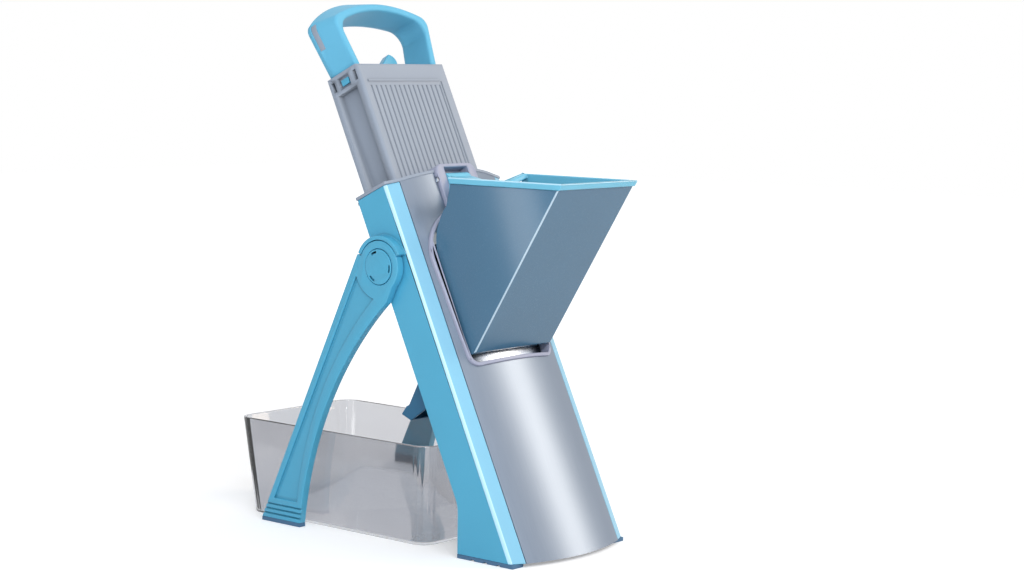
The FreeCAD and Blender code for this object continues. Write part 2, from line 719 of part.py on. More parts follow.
# Inner guides: walls with two ribs that run in the slider's side channels.
for name, side in SIDES.items():
    guide = piece(f"inner_guide_{name}")
    wall = across(side, GUIDE_IN, f"{GUIDE_IN}+guide_wall")
    ribs = across(side, "web_half+guide_gap", GUIDE_IN)
    rib_front = "slider_front+front_flange+guide_gap"
    rib_high = f"{BLOCK_LOW}-slider_stroke-free_gap"
    pad(guide, "YZ_Plane", wall, [
        ("guide_front", ground("guide_front", BASE_TOP)), (GUIDE_BACK, ground(GUIDE_BACK, BASE_TOP)),
        (GUIDE_BACK, "body_length"), ("guide_front", "body_length")])
    pad(guide, "YZ_Plane", ribs,
        block(rib_front, f"{rib_front}+guide_rib", "window_low", rib_high),
        block(f"{GUIDE_BACK}-guide_rib", GUIDE_BACK, "window_low", rib_high))
    cut(guide, "YZ_Plane", wall, block(
        f"{rib_front}+guide_rib+free_gap", f"{GUIDE_BACK}-guide_rib-free_gap",
        "window_low", f"{rib_high}-guide_wall"))

# Rails: each dial's crank shifts its rail, and the rail's long slot carries the drive pin along.
STUD_RISES = [f"{pin}-{drop}" for pin in ("thickness_pin_rise", "comb_pin_rise")
              for drop in ("slider_stroke+stud_inset", "stud_inset")]
right_guide = parts[-1]
for rise in STUD_RISES:
    pad(right_guide, "YZ_Plane", (f"{GUIDE_IN}+guide_wall", f"{RAIL_OUT}+free_gap"),
        Circle("stud_depth", rise, "drive_pin"))
PIN_SLOT = "(drive_pin+free_gap/2)"
THICK_CRANK = "(slice_travel/2/sin(45))"
COMB_CRANK = "(comb_travel/2/sin(45))"
COMB_PIN_DEPTH = "(comb_depth+comb_bar/2)"


def rail(label, pin_rise, pin_depth, shift_low, shift_high, crank_rise, crank_radius, stud_rises):
    body = piece(label)
    reach = "(drive_pin+free_gap+2.5)"
    low = f"({pin_rise})-slider_stroke"
    pad(body, "YZ_Plane", (RAIL_IN, RAIL_OUT), block(
        "rail_front", "rail_back", f"{low}-{reach}", f"({pin_rise})+{reach}"))
    through = (f"{RAIL_IN}-1", f"{RAIL_OUT}+1")
    cut(body, "YZ_Plane", through, slot(
        pin_depth, f"({pin_rise})-slider_stroke/2", PIN_SLOT, "slider_stroke/2+drive_pin+free_gap"))
    middle = f"dial_depth-(({shift_low})+({shift_high}))/2"
    cut(body, "YZ_Plane", through, slot(
        middle, f"({crank_rise})+{crank_radius}*(1+cos(45))/2", PIN_SLOT,
        f"{crank_radius}*(1-cos(45))/2+drive_pin+free_gap"))
    for rise in stud_rises:
        cut(body, "YZ_Plane", through, slot(
            f"stud_depth-(({shift_low})+({shift_high}))/2", rise,
            f"(({shift_high})-({shift_low}))/2+drive_pin+free_gap/2", "drive_pin+free_gap/2"))
    return body


rail("thickness_rail", "thickness_pin_rise", "thickness_pin_depth", "-slice_travel/2", "slice_travel/2",
     "thickness_dial_rise", THICK_CRANK, STUD_RISES[:2])
rail("strip_rail", "comb_pin_rise", COMB_PIN_DEPTH, "0", "comb_travel",
     "strip_dial_rise", COMB_CRANK, STUD_RISES[2:])


def dial(label, rise):
    """A flush disc in the right side panel, with two finger hollows that leave a grip bar."""
    body = piece(label)
    face = f"{HALF}-seam_gap"
    back = f"{INNER}-dial_back"
    pad(body, "YZ_Plane", (back, face), Circle("dial_depth", rise, "dial_radius"))
    bar = "dial_radius/6"
    bowl = "dial_radius*0.8"
    reach = f"sqrt(({bowl})^2-({bar})^2)"
    for turn in (1, -1):
        cut(body, "YZ_Plane", (INNER, HALF), [
            (f"dial_depth-{turn}*{reach}", f"({rise})+{turn}*{bar}"),
            (f"dial_depth+{turn}*{reach}", f"({rise})+{turn}*{bar}"),
            Arc(f"dial_depth", f"({rise})+{turn}*{bowl}", bowl),
            Arc(f"dial_depth-{turn}*{reach}", f"({rise})+{turn}*{bar}", bowl)][1:])
    return back


def crank(label, rise, back, radius, angle):
    """The dial's shaft, with a disc and an off-centre pin that works in the rail."""
    body = piece(label)
    disc_in = f"({RAIL_OUT}+free_gap)"
    disc_out = f"({disc_in}+rail_sheet)"
    pad(body, "YZ_Plane", (disc_in, disc_out), Circle("dial_depth", rise, "crank_disc"))
    pad(body, "YZ_Plane", (disc_out, back), Circle("dial_depth", rise, "crank_disc/2"))
    pad(body, "YZ_Plane", (f"{RAIL_IN}+free_gap/2", disc_in), Circle(
        f"dial_depth+{radius}*sin({angle})", f"({rise})+{radius}*cos({angle})", "drive_pin"))


back = dial("thickness_dial", "thickness_dial_rise")
crank("thickness_crank", "thickness_dial_rise", back, THICK_CRANK, "0")
back = dial("strip_dial", "strip_dial_rise")
crank("strip_crank", "strip_dial_rise", back, COMB_CRANK, "-45")

# Rear housing: a trough behind the slider with the discharge window and two shelves for the rods.
HOUSING_IN = f"({HOUSING_OUT}-housing_wall)"
housing = piece("rear_housing")
flange_back = "side_depth+housing_wall"
half_trough = [
    ("housing_flange", "side_depth"), ("housing_flange", flange_back), (HOUSING_OUT, flange_back),
    (HOUSING_OUT, "housing_back")]
inner_trough = [(HOUSING_IN, "housing_back-housing_wall"), (HOUSING_IN, "side_depth")]
pad(housing, "XY_Plane", ("0", "body_length"), [
    *half_trough, *[(f"-{x}", y) for x, y in reversed(half_trough)],
    *[(f"-{x}", y) for x, y in reversed(inner_trough)], *inner_trough])
cut(housing, "YZ_Plane", ("-body_width", "body_width"), [
    ("0", ground("0", BASE_TOP)), ("0", "-40"), ("2*housing_back", "-40"),
    ("2*housing_back", ground("2*housing_back", BASE_TOP))])
cut(housing, "XZ_Plane", ("housing_back-housing_wall-1", "housing_back+1"), block(
    "-exit_half", "exit_half", "exit_low", "exit_high"))
shelf_front = "rod_depth-spring_radius-spring_wire/2-0.4"
for side in SIDES.values():
    shelf = block("rod_half-4", "rod_half+4", shelf_front, "housing_back-housing_wall")
    pad(housing, "XY_Plane", ("rod_foot", "rod_foot+rod_shelf"), to_side(side, shelf))
    cut(housing, "XY_Plane", ("rod_foot-1", "rod_foot+rod_shelf+1"),
        Circle(f"{side}*rod_half", "rod_depth", "rod_radius+running_gap/2"))

# Return springs on their rods, between the shelves and the slider's top block.
for name, side in SIDES.items():
    rod = piece(f"spring_rod_{name}")
    pad(rod, "XY_Plane", ("rod_foot", "rod_top"), Circle(f"{side}*rod_half", "rod_depth", "rod_radius"))


def coil(middle, low, high):
    """One unbroken helical wire of six flats, swept along half-turn arcs."""
    radius = number("spring_radius")
    wire = number("spring_wire") / 2
    halves = int(2 * number("spring_turns"))
    rise = (high - low - 2 * wire) / halves

    def at(half):
        angle = half * math.pi
        return middle + Vector(radius * math.cos(angle), radius * math.sin(angle), low + wire + half * rise)

    steps = [Part.Arc(at(h), at(h + 0.5), at(h + 1)).toShape() for h in range(halves)]
    ring = Part.Circle(at(0), steps[0].tangentAt(steps[0].FirstParameter), wire)
    flats = [ring.value(math.pi / 3 * corner) for corner in range(7)]
    print(f"least gap between the spring's turns {2 * rise - 2 * wire:.2f} mm")
    return Part.Wire(steps).makePipeShell([Part.makePolygon(flats)], True, False)


for name, side in SIDES.items():
    spring = doc.addObject("Part::Feature", f"return_spring_{name}")
    spring.Label = f"return_spring_{name}"
    middle = Vector(side * number("rod_half"), number("rod_depth"), 0)
    spring.Shape = coil(middle, number("rod_foot+rod_shelf"), number(BLOCK_LOW))
    spring.Placement = Placement(Vector(), Rotation(Vector(-1, 0, 0), number("lean_angle")))
    parts.append(spring)

# Discharge hood: a hollow spout over the window that turns the slices down.
hood = piece("discharge_hood")
pad(hood, "YZ_Plane", ("-hood_half", "hood_half"), [
    ("housing_back", "hood_rise"), ("hood_reach-hood_nose", "hood_rise-hood_drop"),
    ("hood_reach-hood_tip", "hood_rise-hood_drop"), ("hood_reach", "hood_rise-hood_tip_drop"),
    ("hood_reach-hood_tip", "hood_rise-hood_mouth"), ("housing_back", "hood_rise-hood_foot")])
cut(hood, "YZ_Plane", ("-hood_half+hood_wall", "hood_half-hood_wall"), [
    ("housing_back-1", "hood_rise-hood_wall"), ("hood_reach-hood_nose", "hood_rise-hood_drop-hood_wall"),
    ("hood_reach-hood_tip", "hood_rise-hood_drop-hood_wall"),
    ("hood_reach-hood_tip-hood_wall", "hood_rise-hood_mouth-hood_wall"),
    ("housing_back-1", "hood_rise-hood_mouth-hood_wall")])

# Slider: a boxed plate with ribs, two channelled rails and the block that carries the handle.
slider = piece("slider_frame")
c_front = "slider_front+front_flange"
c_back = "slider_back-back_flange"
box_side = [("slider_half", "slider_front"), ("slider_half", c_front), ("web_half", c_front),
            ("web_half", c_back), ("slider_half", c_back), ("slider_half", "slider_back")]
hollow = block(f"-{WEB_IN}", WEB_IN, BLADE_FRONT, f"slider_back-web_wall")
pad(slider, "XY_Plane", ("box_low", BLOCK_LOW),
    [*box_side, *[(f"-{x}", y) for x, y in reversed(box_side)]], hollow)
c_rail = [(WEB_IN, "slider_front"), *box_side, (WEB_IN, "slider_back")]
pad(slider, "XY_Plane", ("slider_low", "box_low"), c_rail, mirrored(c_rail))
pad(slider, "XY_Plane", (BLOCK_LOW, "slider_top"), block(
    "-slider_half", "slider_half", "slider_front", "slider_back"))
pad(slider, "XY_Plane", ("slider_low", "slider_low+rod_shelf"), block(
    f"-{WEB_IN}", WEB_IN, c_back, "slider_back"))
dress_edges(slider, "Fillet", "slider_round", lambda edge: all(
    abs(abs(v.X) - number("slider_half")) < 0.01 and abs(v.Y - number("slider_front")) < 0.01
    for v in edge.Vertexes) and edge.Length > number("block_height") / 2)
cut(slider, "YZ_Plane", (f"-{WEB_IN}", WEB_IN), [
    ("slider_front-1", "box_low-1"), (BLADE_FRONT, "box_low-1"), (BLADE_FRONT, "box_low"),
    ("slider_front", "box_low+2*plate_sheet"), ("slider_front-1", "box_low+2*plate_sheet")])
groove = cut(slider, "XZ_Plane", ("slider_front-1", "slider_front+rib_depth"), block(
    "-rib_first", "-rib_first+rib_groove", "box_low-1", f"{BLOCK_LOW}-plate_sheet"))
row(slider, groove, "H_Axis", "rib_first+rib_last-rib_groove", "rib_count")
pad(slider, "XZ_Plane", ("slider_front-rib_depth", "slider_front"), block(
    "-rib_first-rib_groove", "rib_last", BLOCK_LOW, f"{BLOCK_LOW}+rib_groove"))
cut(slider, "XZ_Plane", ("slider_front-1", "slider_front+rib_depth"), block(
    "rib_last+rib_groove", "rib_last+2*rib_groove", "box_low-1", BLOCK_LOW))
LATCH_RISE = "(slider_top-block_height/2)"
for side in SIDES.values():
    cut(slider, "YZ_Plane", across(side, "slider_half-latch_sunk", "slider_half+1"), slot(
        "latch_depth", LATCH_RISE, "latch_pocket", "latch_half+latch_margin/2"))
    for depth in ("slider_front+front_flange/2+slot_wide/2", "slider_back-back_flange/2-slot_wide/2"):
        cut(slider, "YZ_Plane", across(side, "slider_half-slot_sunk", "slider_half+1"), slot(
            depth, LATCH_RISE, "slot_wide/2", "slot_tall/2"))
    web = across(side, f"{WEB_IN}-1", "web_half+1")
    cut(slider, "YZ_Plane", web, slot("thickness_pin_depth", "thickness_pin_rise",
        "slice_travel/2+drive_pin+free_gap", "drive_pin+free_gap"))
    cut(slider, "YZ_Plane", web, slot(f"{COMB_PIN_DEPTH}+comb_travel/2", "comb_pin_rise",
        "comb_travel/2+drive_pin+free_gap", "drive_pin+free_gap"))
cut(slider, "XY_Plane", ("slider_top-lock_sunk-free_gap", "slider_top+1"), block(
    "-lock_stem-free_gap", "lock_stem+lock_travel+free_gap", "lock_slot-free_gap", "lock_slot_back+free_gap"))

# Handle: a rounded loop on the slider's block, level on top, with its two stripes and latches.
def loft(body, kind, plane, *levels):
    """A ruled solid, added or taken away, through outlines that are each given with their level."""
    turned = "-" if plane == "XZ_Plane" else ""
    sketches = [new_sketch(body, plane, f"{turned}({level})", [outline]) for level, outline in levels]
    feature = body.newObject(f"PartDesign::{kind}", "Loft")
    feature.Profile = sketches[0]
    feature.Sections = sketches[1:]
    feature.Ruled = True
    doc.recompute()


def loop(name):
    """Two uprights that flare from the block's top to a bowed head with round corners."""
    low = f"slider_top+{name}_low_z"
    high = f"slider_top+{name}_high_z"
    return [(f"{name}_foot", "slider_top"), (f"{name}_low_x", low),
            Arc(f"{name}_high_x", high, f"{name}_corner"), Arc(f"-{name}_high_x", high, f"{name}_head"),
            Arc(f"-{name}_low_x", low, f"{name}_corner"), (f"-{name}_foot", "slider_top")]


handle = piece("handle")
for kind, ring in (("AdditiveLoft", "grip"), ("SubtractiveLoft", "hole")):
    loops = [(depth, loop(f"{ring}_{level}")) for level, (depth, inset) in HANDLE_LEVELS.items()]
    loft(handle, kind, "XZ_Plane", *loops)

STRIPE = ("stripe_depth", "stripe_depth+stripe_width")


def stripe(side, proud):
    """A band on the loop's outer side that runs up into its round corner."""
    def edge(lift):
        radius = f"(stripe_corner+({lift}))"
        side_end = (f"stripe_arc_x+{radius}*stripe_rise/stripe_side",
                    f"slider_top+stripe_arc_z-{radius}*stripe_rise/stripe_side*stripe_lean")
        turn_end = (f"stripe_arc_x+{radius}*cos(stripe_turn)",
                    f"slider_top+stripe_arc_z+{radius}*sin(stripe_turn)")
        foot = (f"stripe_foot+stripe_low*stripe_lean+({lift})", "slider_top+stripe_low")
        return radius, foot, side_end, turn_end

    radius, foot, side_end, turn_end = edge(proud)
    in_radius, in_foot, in_side_end, in_turn_end = edge("-stripe_sunk")
    return to_side(side, [foot, side_end, Arc(*turn_end, radius), in_turn_end,
                          Arc(*in_side_end, in_radius, -1), in_foot])


for side in SIDES.values():
    cut(handle, "XZ_Plane", STRIPE, stripe(side, "4*stripe_sunk"))
inlays = piece("handle_stripes")
for side in SIDES.values():
    pad(inlays, "XZ_Plane", STRIPE, stripe(side, "stripe_proud"))
latches = piece("handle_latches")
for side in SIDES.values():
    pad(latches, "YZ_Plane", across(side, "slider_half-latch_sunk", "slider_half-stripe_sunk"), slot(
        "latch_depth", LATCH_RISE, "latch_half", "latch_half-latch_margin"))

lock = piece("lock_tab")
pad(lock, "XZ_Plane", ("lock_slot-lock_brim", "lock_slot_back+lock_brim"), [
    ("-lock_half", "slider_top+seam_gap"), ("lock_half", "slider_top+seam_gap"),
    ("lock_half", "slider_top+lock_side"), Arc("lock_peak", "slider_top+lock_height", "lock_round"),
    ("-lock_half", "slider_top+lock_toe")])
pad(lock, "XZ_Plane", ("lock_slot", "lock_slot_back"), block(
    "-lock_stem", "lock_stem", "slider_top-lock_sunk", "slider_top+seam_gap"))

# Blade: a steel strip with a ground edge, under the foot of the ribbed plate.
blade = piece("slicing_blade")
blade_half = f"({WEB_IN}-seam_gap)"
blade_back = f"({BLADE_FRONT}+blade_sheet)"
pad(blade, "XZ_Plane", (BLADE_FRONT, blade_back), [
    (f"-{blade_half}", "blade_low"), ("0", "blade_low+blade_vee"), (blade_half, "blade_low"),
    (blade_half, "blade_high"), (f"-{blade_half}", "blade_high")])
edge_high = number("blade_low+blade_vee") + 0.01
edge_front = number(BLADE_FRONT) + 0.01
dress_edges(blade, "Chamfer", "blade_sheet*0.75", lambda edge: edge.BoundBox.ZMax < edge_high
            and edge.BoundBox.XLength > 5 and edge.BoundBox.YMax < edge_front)
# Thickness plate: the steel bed under the blade, notched for the strip comb.
bed = piece("thickness_plate")
bed_half = f"({WEB_IN}-free_gap)"
bed_back = f"({PLATE_FRONT}+thickness_sheet)"
pad(bed, "XZ_Plane", (PLATE_FRONT, bed_back), block(
    f"-{bed_half}", bed_half, "thickness_low", "thickness_high"))
first_tooth = "(-comb_pitch*(comb_teeth-1)/2)"
notch = cut(bed, "XZ_Plane", (f"{PLATE_FRONT}-1", f"{bed_back}+1"), block(
    f"{first_tooth}-comb_tooth", f"{first_tooth}+comb_tooth", "comb_low-2", "thickness_high+1"))
row(bed, notch, "H_Axis", "comb_pitch*(comb_teeth-1)", "comb_teeth")
for side, reach in ((-1, "slider_half-1"), (1, f"{RAIL_OUT}-0.3")):
    pad(bed, "YZ_Plane", across(side, f"{bed_half}-2", bed_half), slot(
        f"({bed_back}+thickness_pin_depth+3)/2", "thickness_pin_rise",
        f"(thickness_pin_depth+3-{bed_back})/2", "5"))
    pad(bed, "YZ_Plane", across(side, bed_half, reach), Circle(
        "thickness_pin_depth", "thickness_pin_rise", "drive_pin"))

# Strip comb: upright cutters that stand through the bed's notches.
comb = piece("strip_comb")
comb_half = f"({WEB_IN}-free_gap-2)"
comb_back = "comb_depth+comb_bar"
pad(comb, "XZ_Plane", ("comb_depth", comb_back), block(
    f"-{comb_half}", comb_half, "comb_low", "comb_low+comb_height"))
tooth = pad(comb, "XZ_Plane", ("comb_tip", "comb_depth"), block(
    f"{first_tooth}-comb_tooth/2", f"{first_tooth}+comb_tooth/2", "comb_low", "comb_low+comb_height"))
row(comb, tooth, "H_Axis", "comb_pitch*(comb_teeth-1)", "comb_teeth")
for side, reach in ((-1, "slider_half-1"), (1, f"{RAIL_OUT}-0.3")):
    arm = across(side, f"{comb_half}-comb_bar", comb_half)
    pad(comb, "YZ_Plane", arm, block("comb_depth", comb_back, "comb_low", "comb_pin_rise+4"))
    pad(comb, "YZ_Plane", across(side, comb_half, reach),
        Circle(COMB_PIN_DEPTH, "comb_pin_rise", "drive_pin"))


# Chute: a slate outer shell and a blue liner that carries the rim and the hinge lug.
CHUTE_SLOPE = f"(({rim_rise('rim_reach')}-chute_foot_rise)/(rim_reach-chute_foot_front))"


def chute_wall_rise(front, inset):
    """Rise of the sloping front wall, drawn in by an inset, at a distance in front of the seam."""
    return f"(chute_foot_rise+({inset})*sqrt(1+{CHUTE_SLOPE}^2)+{CHUTE_SLOPE}*(({front})-chute_foot_front))"


def chute_lip(inset, drop):
    """Where the front wall, drawn in by an inset, meets a line that lies below the rim."""
    rest = f"rim_height/cos(lean_angle)-({drop})-{chute_wall_rise('0', inset)}"
    front = f"(({rest})/({CHUTE_SLOPE}+tan(lean_angle)))"
    return f"-{front}", chute_wall_rise(front, inset)


def chute_side(inset, drop):
    """The chute's side outline, with the front wall drawn in and the top below the rim."""
    foot = chute_wall_rise("chute_foot_front", inset)
    return [("-chute_foot_front", foot), chute_lip(inset, drop),
            ("-rim_rear", f"{rim_rise('rim_rear')}-({drop})"), ("-chute_neck_front", "chute_neck_rise"),
            Arc("-chute_foot_back", "chute_back_rise", "chute_neck_radius", -1), ("-chute_foot_back", foot)]


def chute_hollow(inset):
    """A cutting outline above the front wall, open past the rim and the back."""
    far = "(rim_reach+rim_rear)"
    return [("rim_rear", chute_wall_rise("-rim_rear", inset)), (f"-{far}", chute_wall_rise(far, inset)),
            (f"-{far}", "hinge_rise+rim_rear"), ("rim_rear", "hinge_rise+rim_rear")]


SHELL_IN = "(chute_half-chute_wall)"
LINER_IN = "(chute_half-chute_wall-liner_wall)"
shell = piece("chute_shell")
pad(shell, "YZ_Plane", ("-chute_half", "chute_half"), chute_side("0", "rim_band"))
cut(shell, "YZ_Plane", (f"-{SHELL_IN}", SHELL_IN), chute_hollow("chute_wall"))

liner = piece("chute_liner")
pad(liner, "YZ_Plane", (f"-{SHELL_IN}", SHELL_IN), chute_side("chute_wall", "0"))
rim_half = "chute_half+rim_proud"
pad(liner, "YZ_Plane", (f"-({rim_half})", rim_half), [
    chute_lip("-rim_proud", "rim_band"), chute_lip("-rim_proud", "0"),
    ("-rim_rear", rim_rise("rim_rear")), ("-rim_rear", f"{rim_rise('rim_rear')}-rim_band")])
cut(liner, "YZ_Plane", (f"-{LINER_IN}", LINER_IN), chute_hollow("chute_wall+liner_wall"))
LUG_HALF = "(recess_half-free_gap)"
bar_top = rim_rise("rim_rear")
pad(liner, "YZ_Plane", (f"-{LINER_IN}", LINER_IN), block(
    "-rim_rear-4", "-rim_rear", f"{bar_top}-rim_band", f"{bar_top}+0.5"))
pad(liner, "YZ_Plane", (f"-{LUG_HALF}", LUG_HALF), [
    ("-hinge_front", "hinge_rise+2.3"), ("-rim_rear", f"{bar_top}+0.5"), ("-rim_rear", f"{bar_top}-rim_band"),
    ("-hinge_front", "hinge_rise-hinge_hub+0.2")])
pad(liner, "YZ_Plane", (f"-{LUG_HALF}", LUG_HALF), Circle("-hinge_front", "hinge_rise", "hinge_hub"))
cut(liner, "YZ_Plane", (f"-{LUG_HALF}-1", f"{LUG_HALF}+1"), Circle(
    "-hinge_front", "hinge_rise", "hinge_pin+running_gap"))

# Legs: bowed arms that turn on the side panels' bosses, with caps and rubber feet.
HUB_TURN = 20.4


def at_hub(radius, angle):
    return f"{HUB_Y}+{radius}*cos({angle})", f"{HUB_Z}+{radius}*sin({angle})"


for name, side in SIDES.items():
    leg = piece(f"leg_{name}", leaning=False)
    shoulder = at_hub(f"({GUARD_OUT}+0.3)", HUB_TURN)
    knee = at_hub("(hub_radius*1.4)", 253)
    pad(leg, "YZ_Plane", across(side, LEG_IN, LEG_OUT), [
        ("leg_foot_back", "pad_height"), shoulder, at_hub("hub_radius", HUB_TURN),
        Arc(*at_hub("hub_radius", 120), "hub_radius"), Arc(*at_hub("hub_radius", 225), "hub_radius"),
        knee, Arc("leg_foot_front", "pad_height", "leg_bow", -1)])
    face = across(side, f"{LEG_OUT}-leg_recess", f"{LEG_OUT}+1")
    rim_top = at_hub("(hub_radius+leg_rim)", -20)
    rim_bottom = at_hub("(hub_radius+leg_rim)", -78)
    cut(leg, "YZ_Plane", face, [
        ("leg_foot_back-leg_rim-8", "leg_web_low"),
        rim_top, Arc(*rim_bottom, "hub_radius+leg_rim", -1),
        Arc("leg_foot_front+leg_rim-2", "leg_web_low", "leg_bow-leg_rim", -1)])
    ridge = cut(leg, "YZ_Plane", across(side, f"{LEG_OUT}-leg_recess/2", f"{LEG_OUT}+1"), block(
        "leg_foot_front-leg_rim", "leg_foot_back+1", "2*pad_height", "2*pad_height+1"))
    row(leg, ridge, "V_Axis", "2.5*pad_height", 3)
    cut(leg, "YZ_Plane", across(side, f"{LEG_OUT}-cap_sheet+0.1", f"{LEG_OUT}+1"), Circle(
        HUB_Y, HUB_Z, "cap_radius+free_gap"))
    cut(leg, "YZ_Plane", across(side, f"{LEG_IN}-1", f"{LEG_OUT}+1"),
        Circle(HUB_Y, HUB_Z, "hub_pin+running_gap"))

    cap = piece(f"pivot_cap_{name}")
    cap_in = HUB_BOSS
    pad(cap, "YZ_Plane", across(side, cap_in, f"{cap_in}+cap_sheet"),
        Circle("hub_depth", "hub_rise", "cap_radius"))
    for angle in (90, 210, 330):
        start, end = angle - 14, angle + 14
        cut(cap, "YZ_Plane", across(side, cap_in, f"{cap_in}+cap_sheet+1"), [
            on_hub("(cap_radius-1.2)", start), Arc(*on_hub("(cap_radius-1.2)", end), "cap_radius-1.2"),
            on_hub("(cap_radius-2.8)", end), Arc(*on_hub("(cap_radius-2.8)", start), "cap_radius-2.8", -1)])

    foot = piece(f"leg_pad_{name}", leaning=False)
    pad(foot, "XY_Plane", ("0", "pad_height"), to_side(side, block(
        LEG_IN, LEG_OUT, "leg_foot_front", "leg_foot_back")))

# Catch bin: a tapered clear tray that stands behind the body.
tray = piece("catch_bin", leaning=False)


def rounded(half, low, high, corner):
    return [
        (f"({half})-{corner}", low), Arc(half, f"({low})+{corner}", corner),
        (half, f"({high})-{corner}"), Arc(f"({half})-{corner}", high, corner), (f"-({half})+{corner}", high),
        Arc(f"-({half})", f"({high})-{corner}", corner), (f"-({half})", f"({low})+{corner}"),
        Arc(f"-({half})+{corner}", low, corner)]


def tray_outline(taper, inset):
    drawn_in = f"{taper}-{inset}"
    return rounded(f"bin_half-{drawn_in}", f"bin_front+{taper}+{inset}", f"bin_back-{drawn_in}", "bin_corner")


for kind, low, inset in (("AdditiveLoft", "0", "0"), ("SubtractiveLoft", "bin_wall", "bin_wall")):
    loft(tray, kind, "XY_Plane",
         (low, tray_outline("bin_taper", inset)), ("bin_height", tray_outline("0", inset)))

# Every object and every shape is sound before anything is written.
doc.recompute()
for item in doc.Objects:
    if {"Invalid", "Error"} & set(item.State):
        raise RuntimeError(f"{item.Label} failed: {item.State}")
for item in parts:
    if item.Shape.isNull() or not item.Shape.isValid():
        raise RuntimeError(f"{item.Label} has no sound shape")

# The origin is the middle of the whole object's footprint, on the ground.
box = FreeCAD.BoundBox()
for item in parts:
    box.add(item.Shape.optimalBoundingBox(False, False))
centre = Vector(-box.Center.x, -box.Center.y, 0)
for item in parts:
    item.Placement.Base = item.Placement.Base + centre
doc.recompute()
print(f"moved to the middle by {centre.x:.3f}, {centre.y:.3f} mm")

os.makedirs("parts", exist_ok=True)
for item in parts:
    item.Shape.exportStep(f"parts/{item.Label}.step")
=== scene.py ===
from math import copysign, cos, radians, sin

import bmesh
import bpy
from mathutils import Matrix, Vector


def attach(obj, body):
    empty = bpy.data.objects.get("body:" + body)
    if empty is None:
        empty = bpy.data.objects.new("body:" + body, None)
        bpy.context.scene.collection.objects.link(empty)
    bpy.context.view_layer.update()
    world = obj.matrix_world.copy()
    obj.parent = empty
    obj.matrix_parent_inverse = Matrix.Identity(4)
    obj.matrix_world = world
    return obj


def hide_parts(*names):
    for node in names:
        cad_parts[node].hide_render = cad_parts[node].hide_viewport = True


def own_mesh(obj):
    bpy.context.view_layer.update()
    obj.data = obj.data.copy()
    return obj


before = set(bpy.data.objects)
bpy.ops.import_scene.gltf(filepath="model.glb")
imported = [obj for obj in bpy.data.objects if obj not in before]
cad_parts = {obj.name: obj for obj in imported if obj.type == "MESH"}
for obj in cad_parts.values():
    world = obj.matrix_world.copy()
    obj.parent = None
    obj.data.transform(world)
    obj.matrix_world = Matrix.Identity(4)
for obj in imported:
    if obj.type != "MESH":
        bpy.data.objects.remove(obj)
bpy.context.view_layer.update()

# Studio: the slicer stands on a white sweep under a soft dome, seen by a long lens from its front left.
# The key lamp hangs over the lens, a tall warm lamp at the right draws the bright band on the bowed
# panel, and a small lamp at the left lays the sheen on the chute.
view_azimuth, view_elevation, view_roll = radians(49.77), radians(6.09), radians(0.80)
view_distance = 1.5811
view_target = Vector((-0.00493, -0.07722, 0.18935))
photo_width_px, focal_px, sensor_mm = 1024, 2185.58, 36

towards_eye = Vector((-sin(view_azimuth) * cos(view_elevation), -cos(view_azimuth) * cos(view_elevation),
                      sin(view_elevation)))
level_right = (-towards_eye).cross(Vector((0, 0, 1))).normalized()
level_up = level_right.cross(-towards_eye)
lens_right = cos(view_roll) * level_right + sin(view_roll) * level_up
lens_up = cos(view_roll) * level_up - sin(view_roll) * level_right
camera = bpy.data.objects.new("camera", bpy.data.cameras.new("camera"))
camera.matrix_world = Matrix.Translation(view_target + view_distance * towards_eye) @ Matrix(
    (lens_right, lens_up, towards_eye)).transposed().to_4x4()
camera.data.sensor_fit = "HORIZONTAL"
camera.data.sensor_width = sensor_mm
camera.data.lens = focal_px * sensor_mm / photo_width_px
bpy.context.collection.objects.link(camera)
bpy.context.scene.camera = camera
bpy.context.scene.view_settings.view_transform = "Standard"


def add_node(tree, kind, inputs=None, **settings):
    """Adds a node, sets its options, and sets or links its inputs by name or place."""
    made = tree.nodes.new(kind)
    for option, value in settings.items():
        setattr(made, option, value)
    for place, value in (inputs or {}).items():
        if isinstance(value, bpy.types.NodeSocket):
            tree.links.new(value, made.inputs[place])
        else:
            made.inputs[place].default_value = value
    return made


def shade(code):
    """An sRGB hex colour as linear RGBA."""
    channels = [int(code[i:i + 2], 16) / 255 for i in (1, 3, 5)]
    return (*[c / 12.92 if c <= 0.04045 else ((c + 0.055) / 1.055) ** 2.4 for c in channels], 1)


def seen_directly(tree):
    """1 where the camera, a mirror-like surface or clear plastic looks on, and 0 for scattered light."""
    path = add_node(tree, "ShaderNodeLightPath").outputs
    mirrored = add_node(tree, "ShaderNodeMath", {
        0: path["Is Camera Ray"], 1: path["Is Glossy Ray"]}, operation="MAXIMUM")
    looked_through = add_node(tree, "ShaderNodeMath", {
        0: mirrored.outputs[0], 1: path["Is Transmission Ray"]}, operation="MAXIMUM")
    return looked_through.outputs[0]


dome = bpy.data.worlds.new("white_dome")
dome.use_nodes = True
sky = dome.node_tree
sky.nodes.clear()
dome_light = add_node(sky, "ShaderNodeBackground", {"Color": shade("#F4F7FB"), "Strength": 0.42})
dome_white = add_node(sky, "ShaderNodeBackground", {"Color": shade("#FFFFFF"), "Strength": 1})
dome_mix = add_node(sky, "ShaderNodeMixShader", {
    0: seen_directly(sky), 1: dome_light.outputs[0], 2: dome_white.outputs[0]})
add_node(sky, "ShaderNodeOutputWorld", {"Surface": dome_mix.outputs[0]})
bpy.context.scene.world = dome

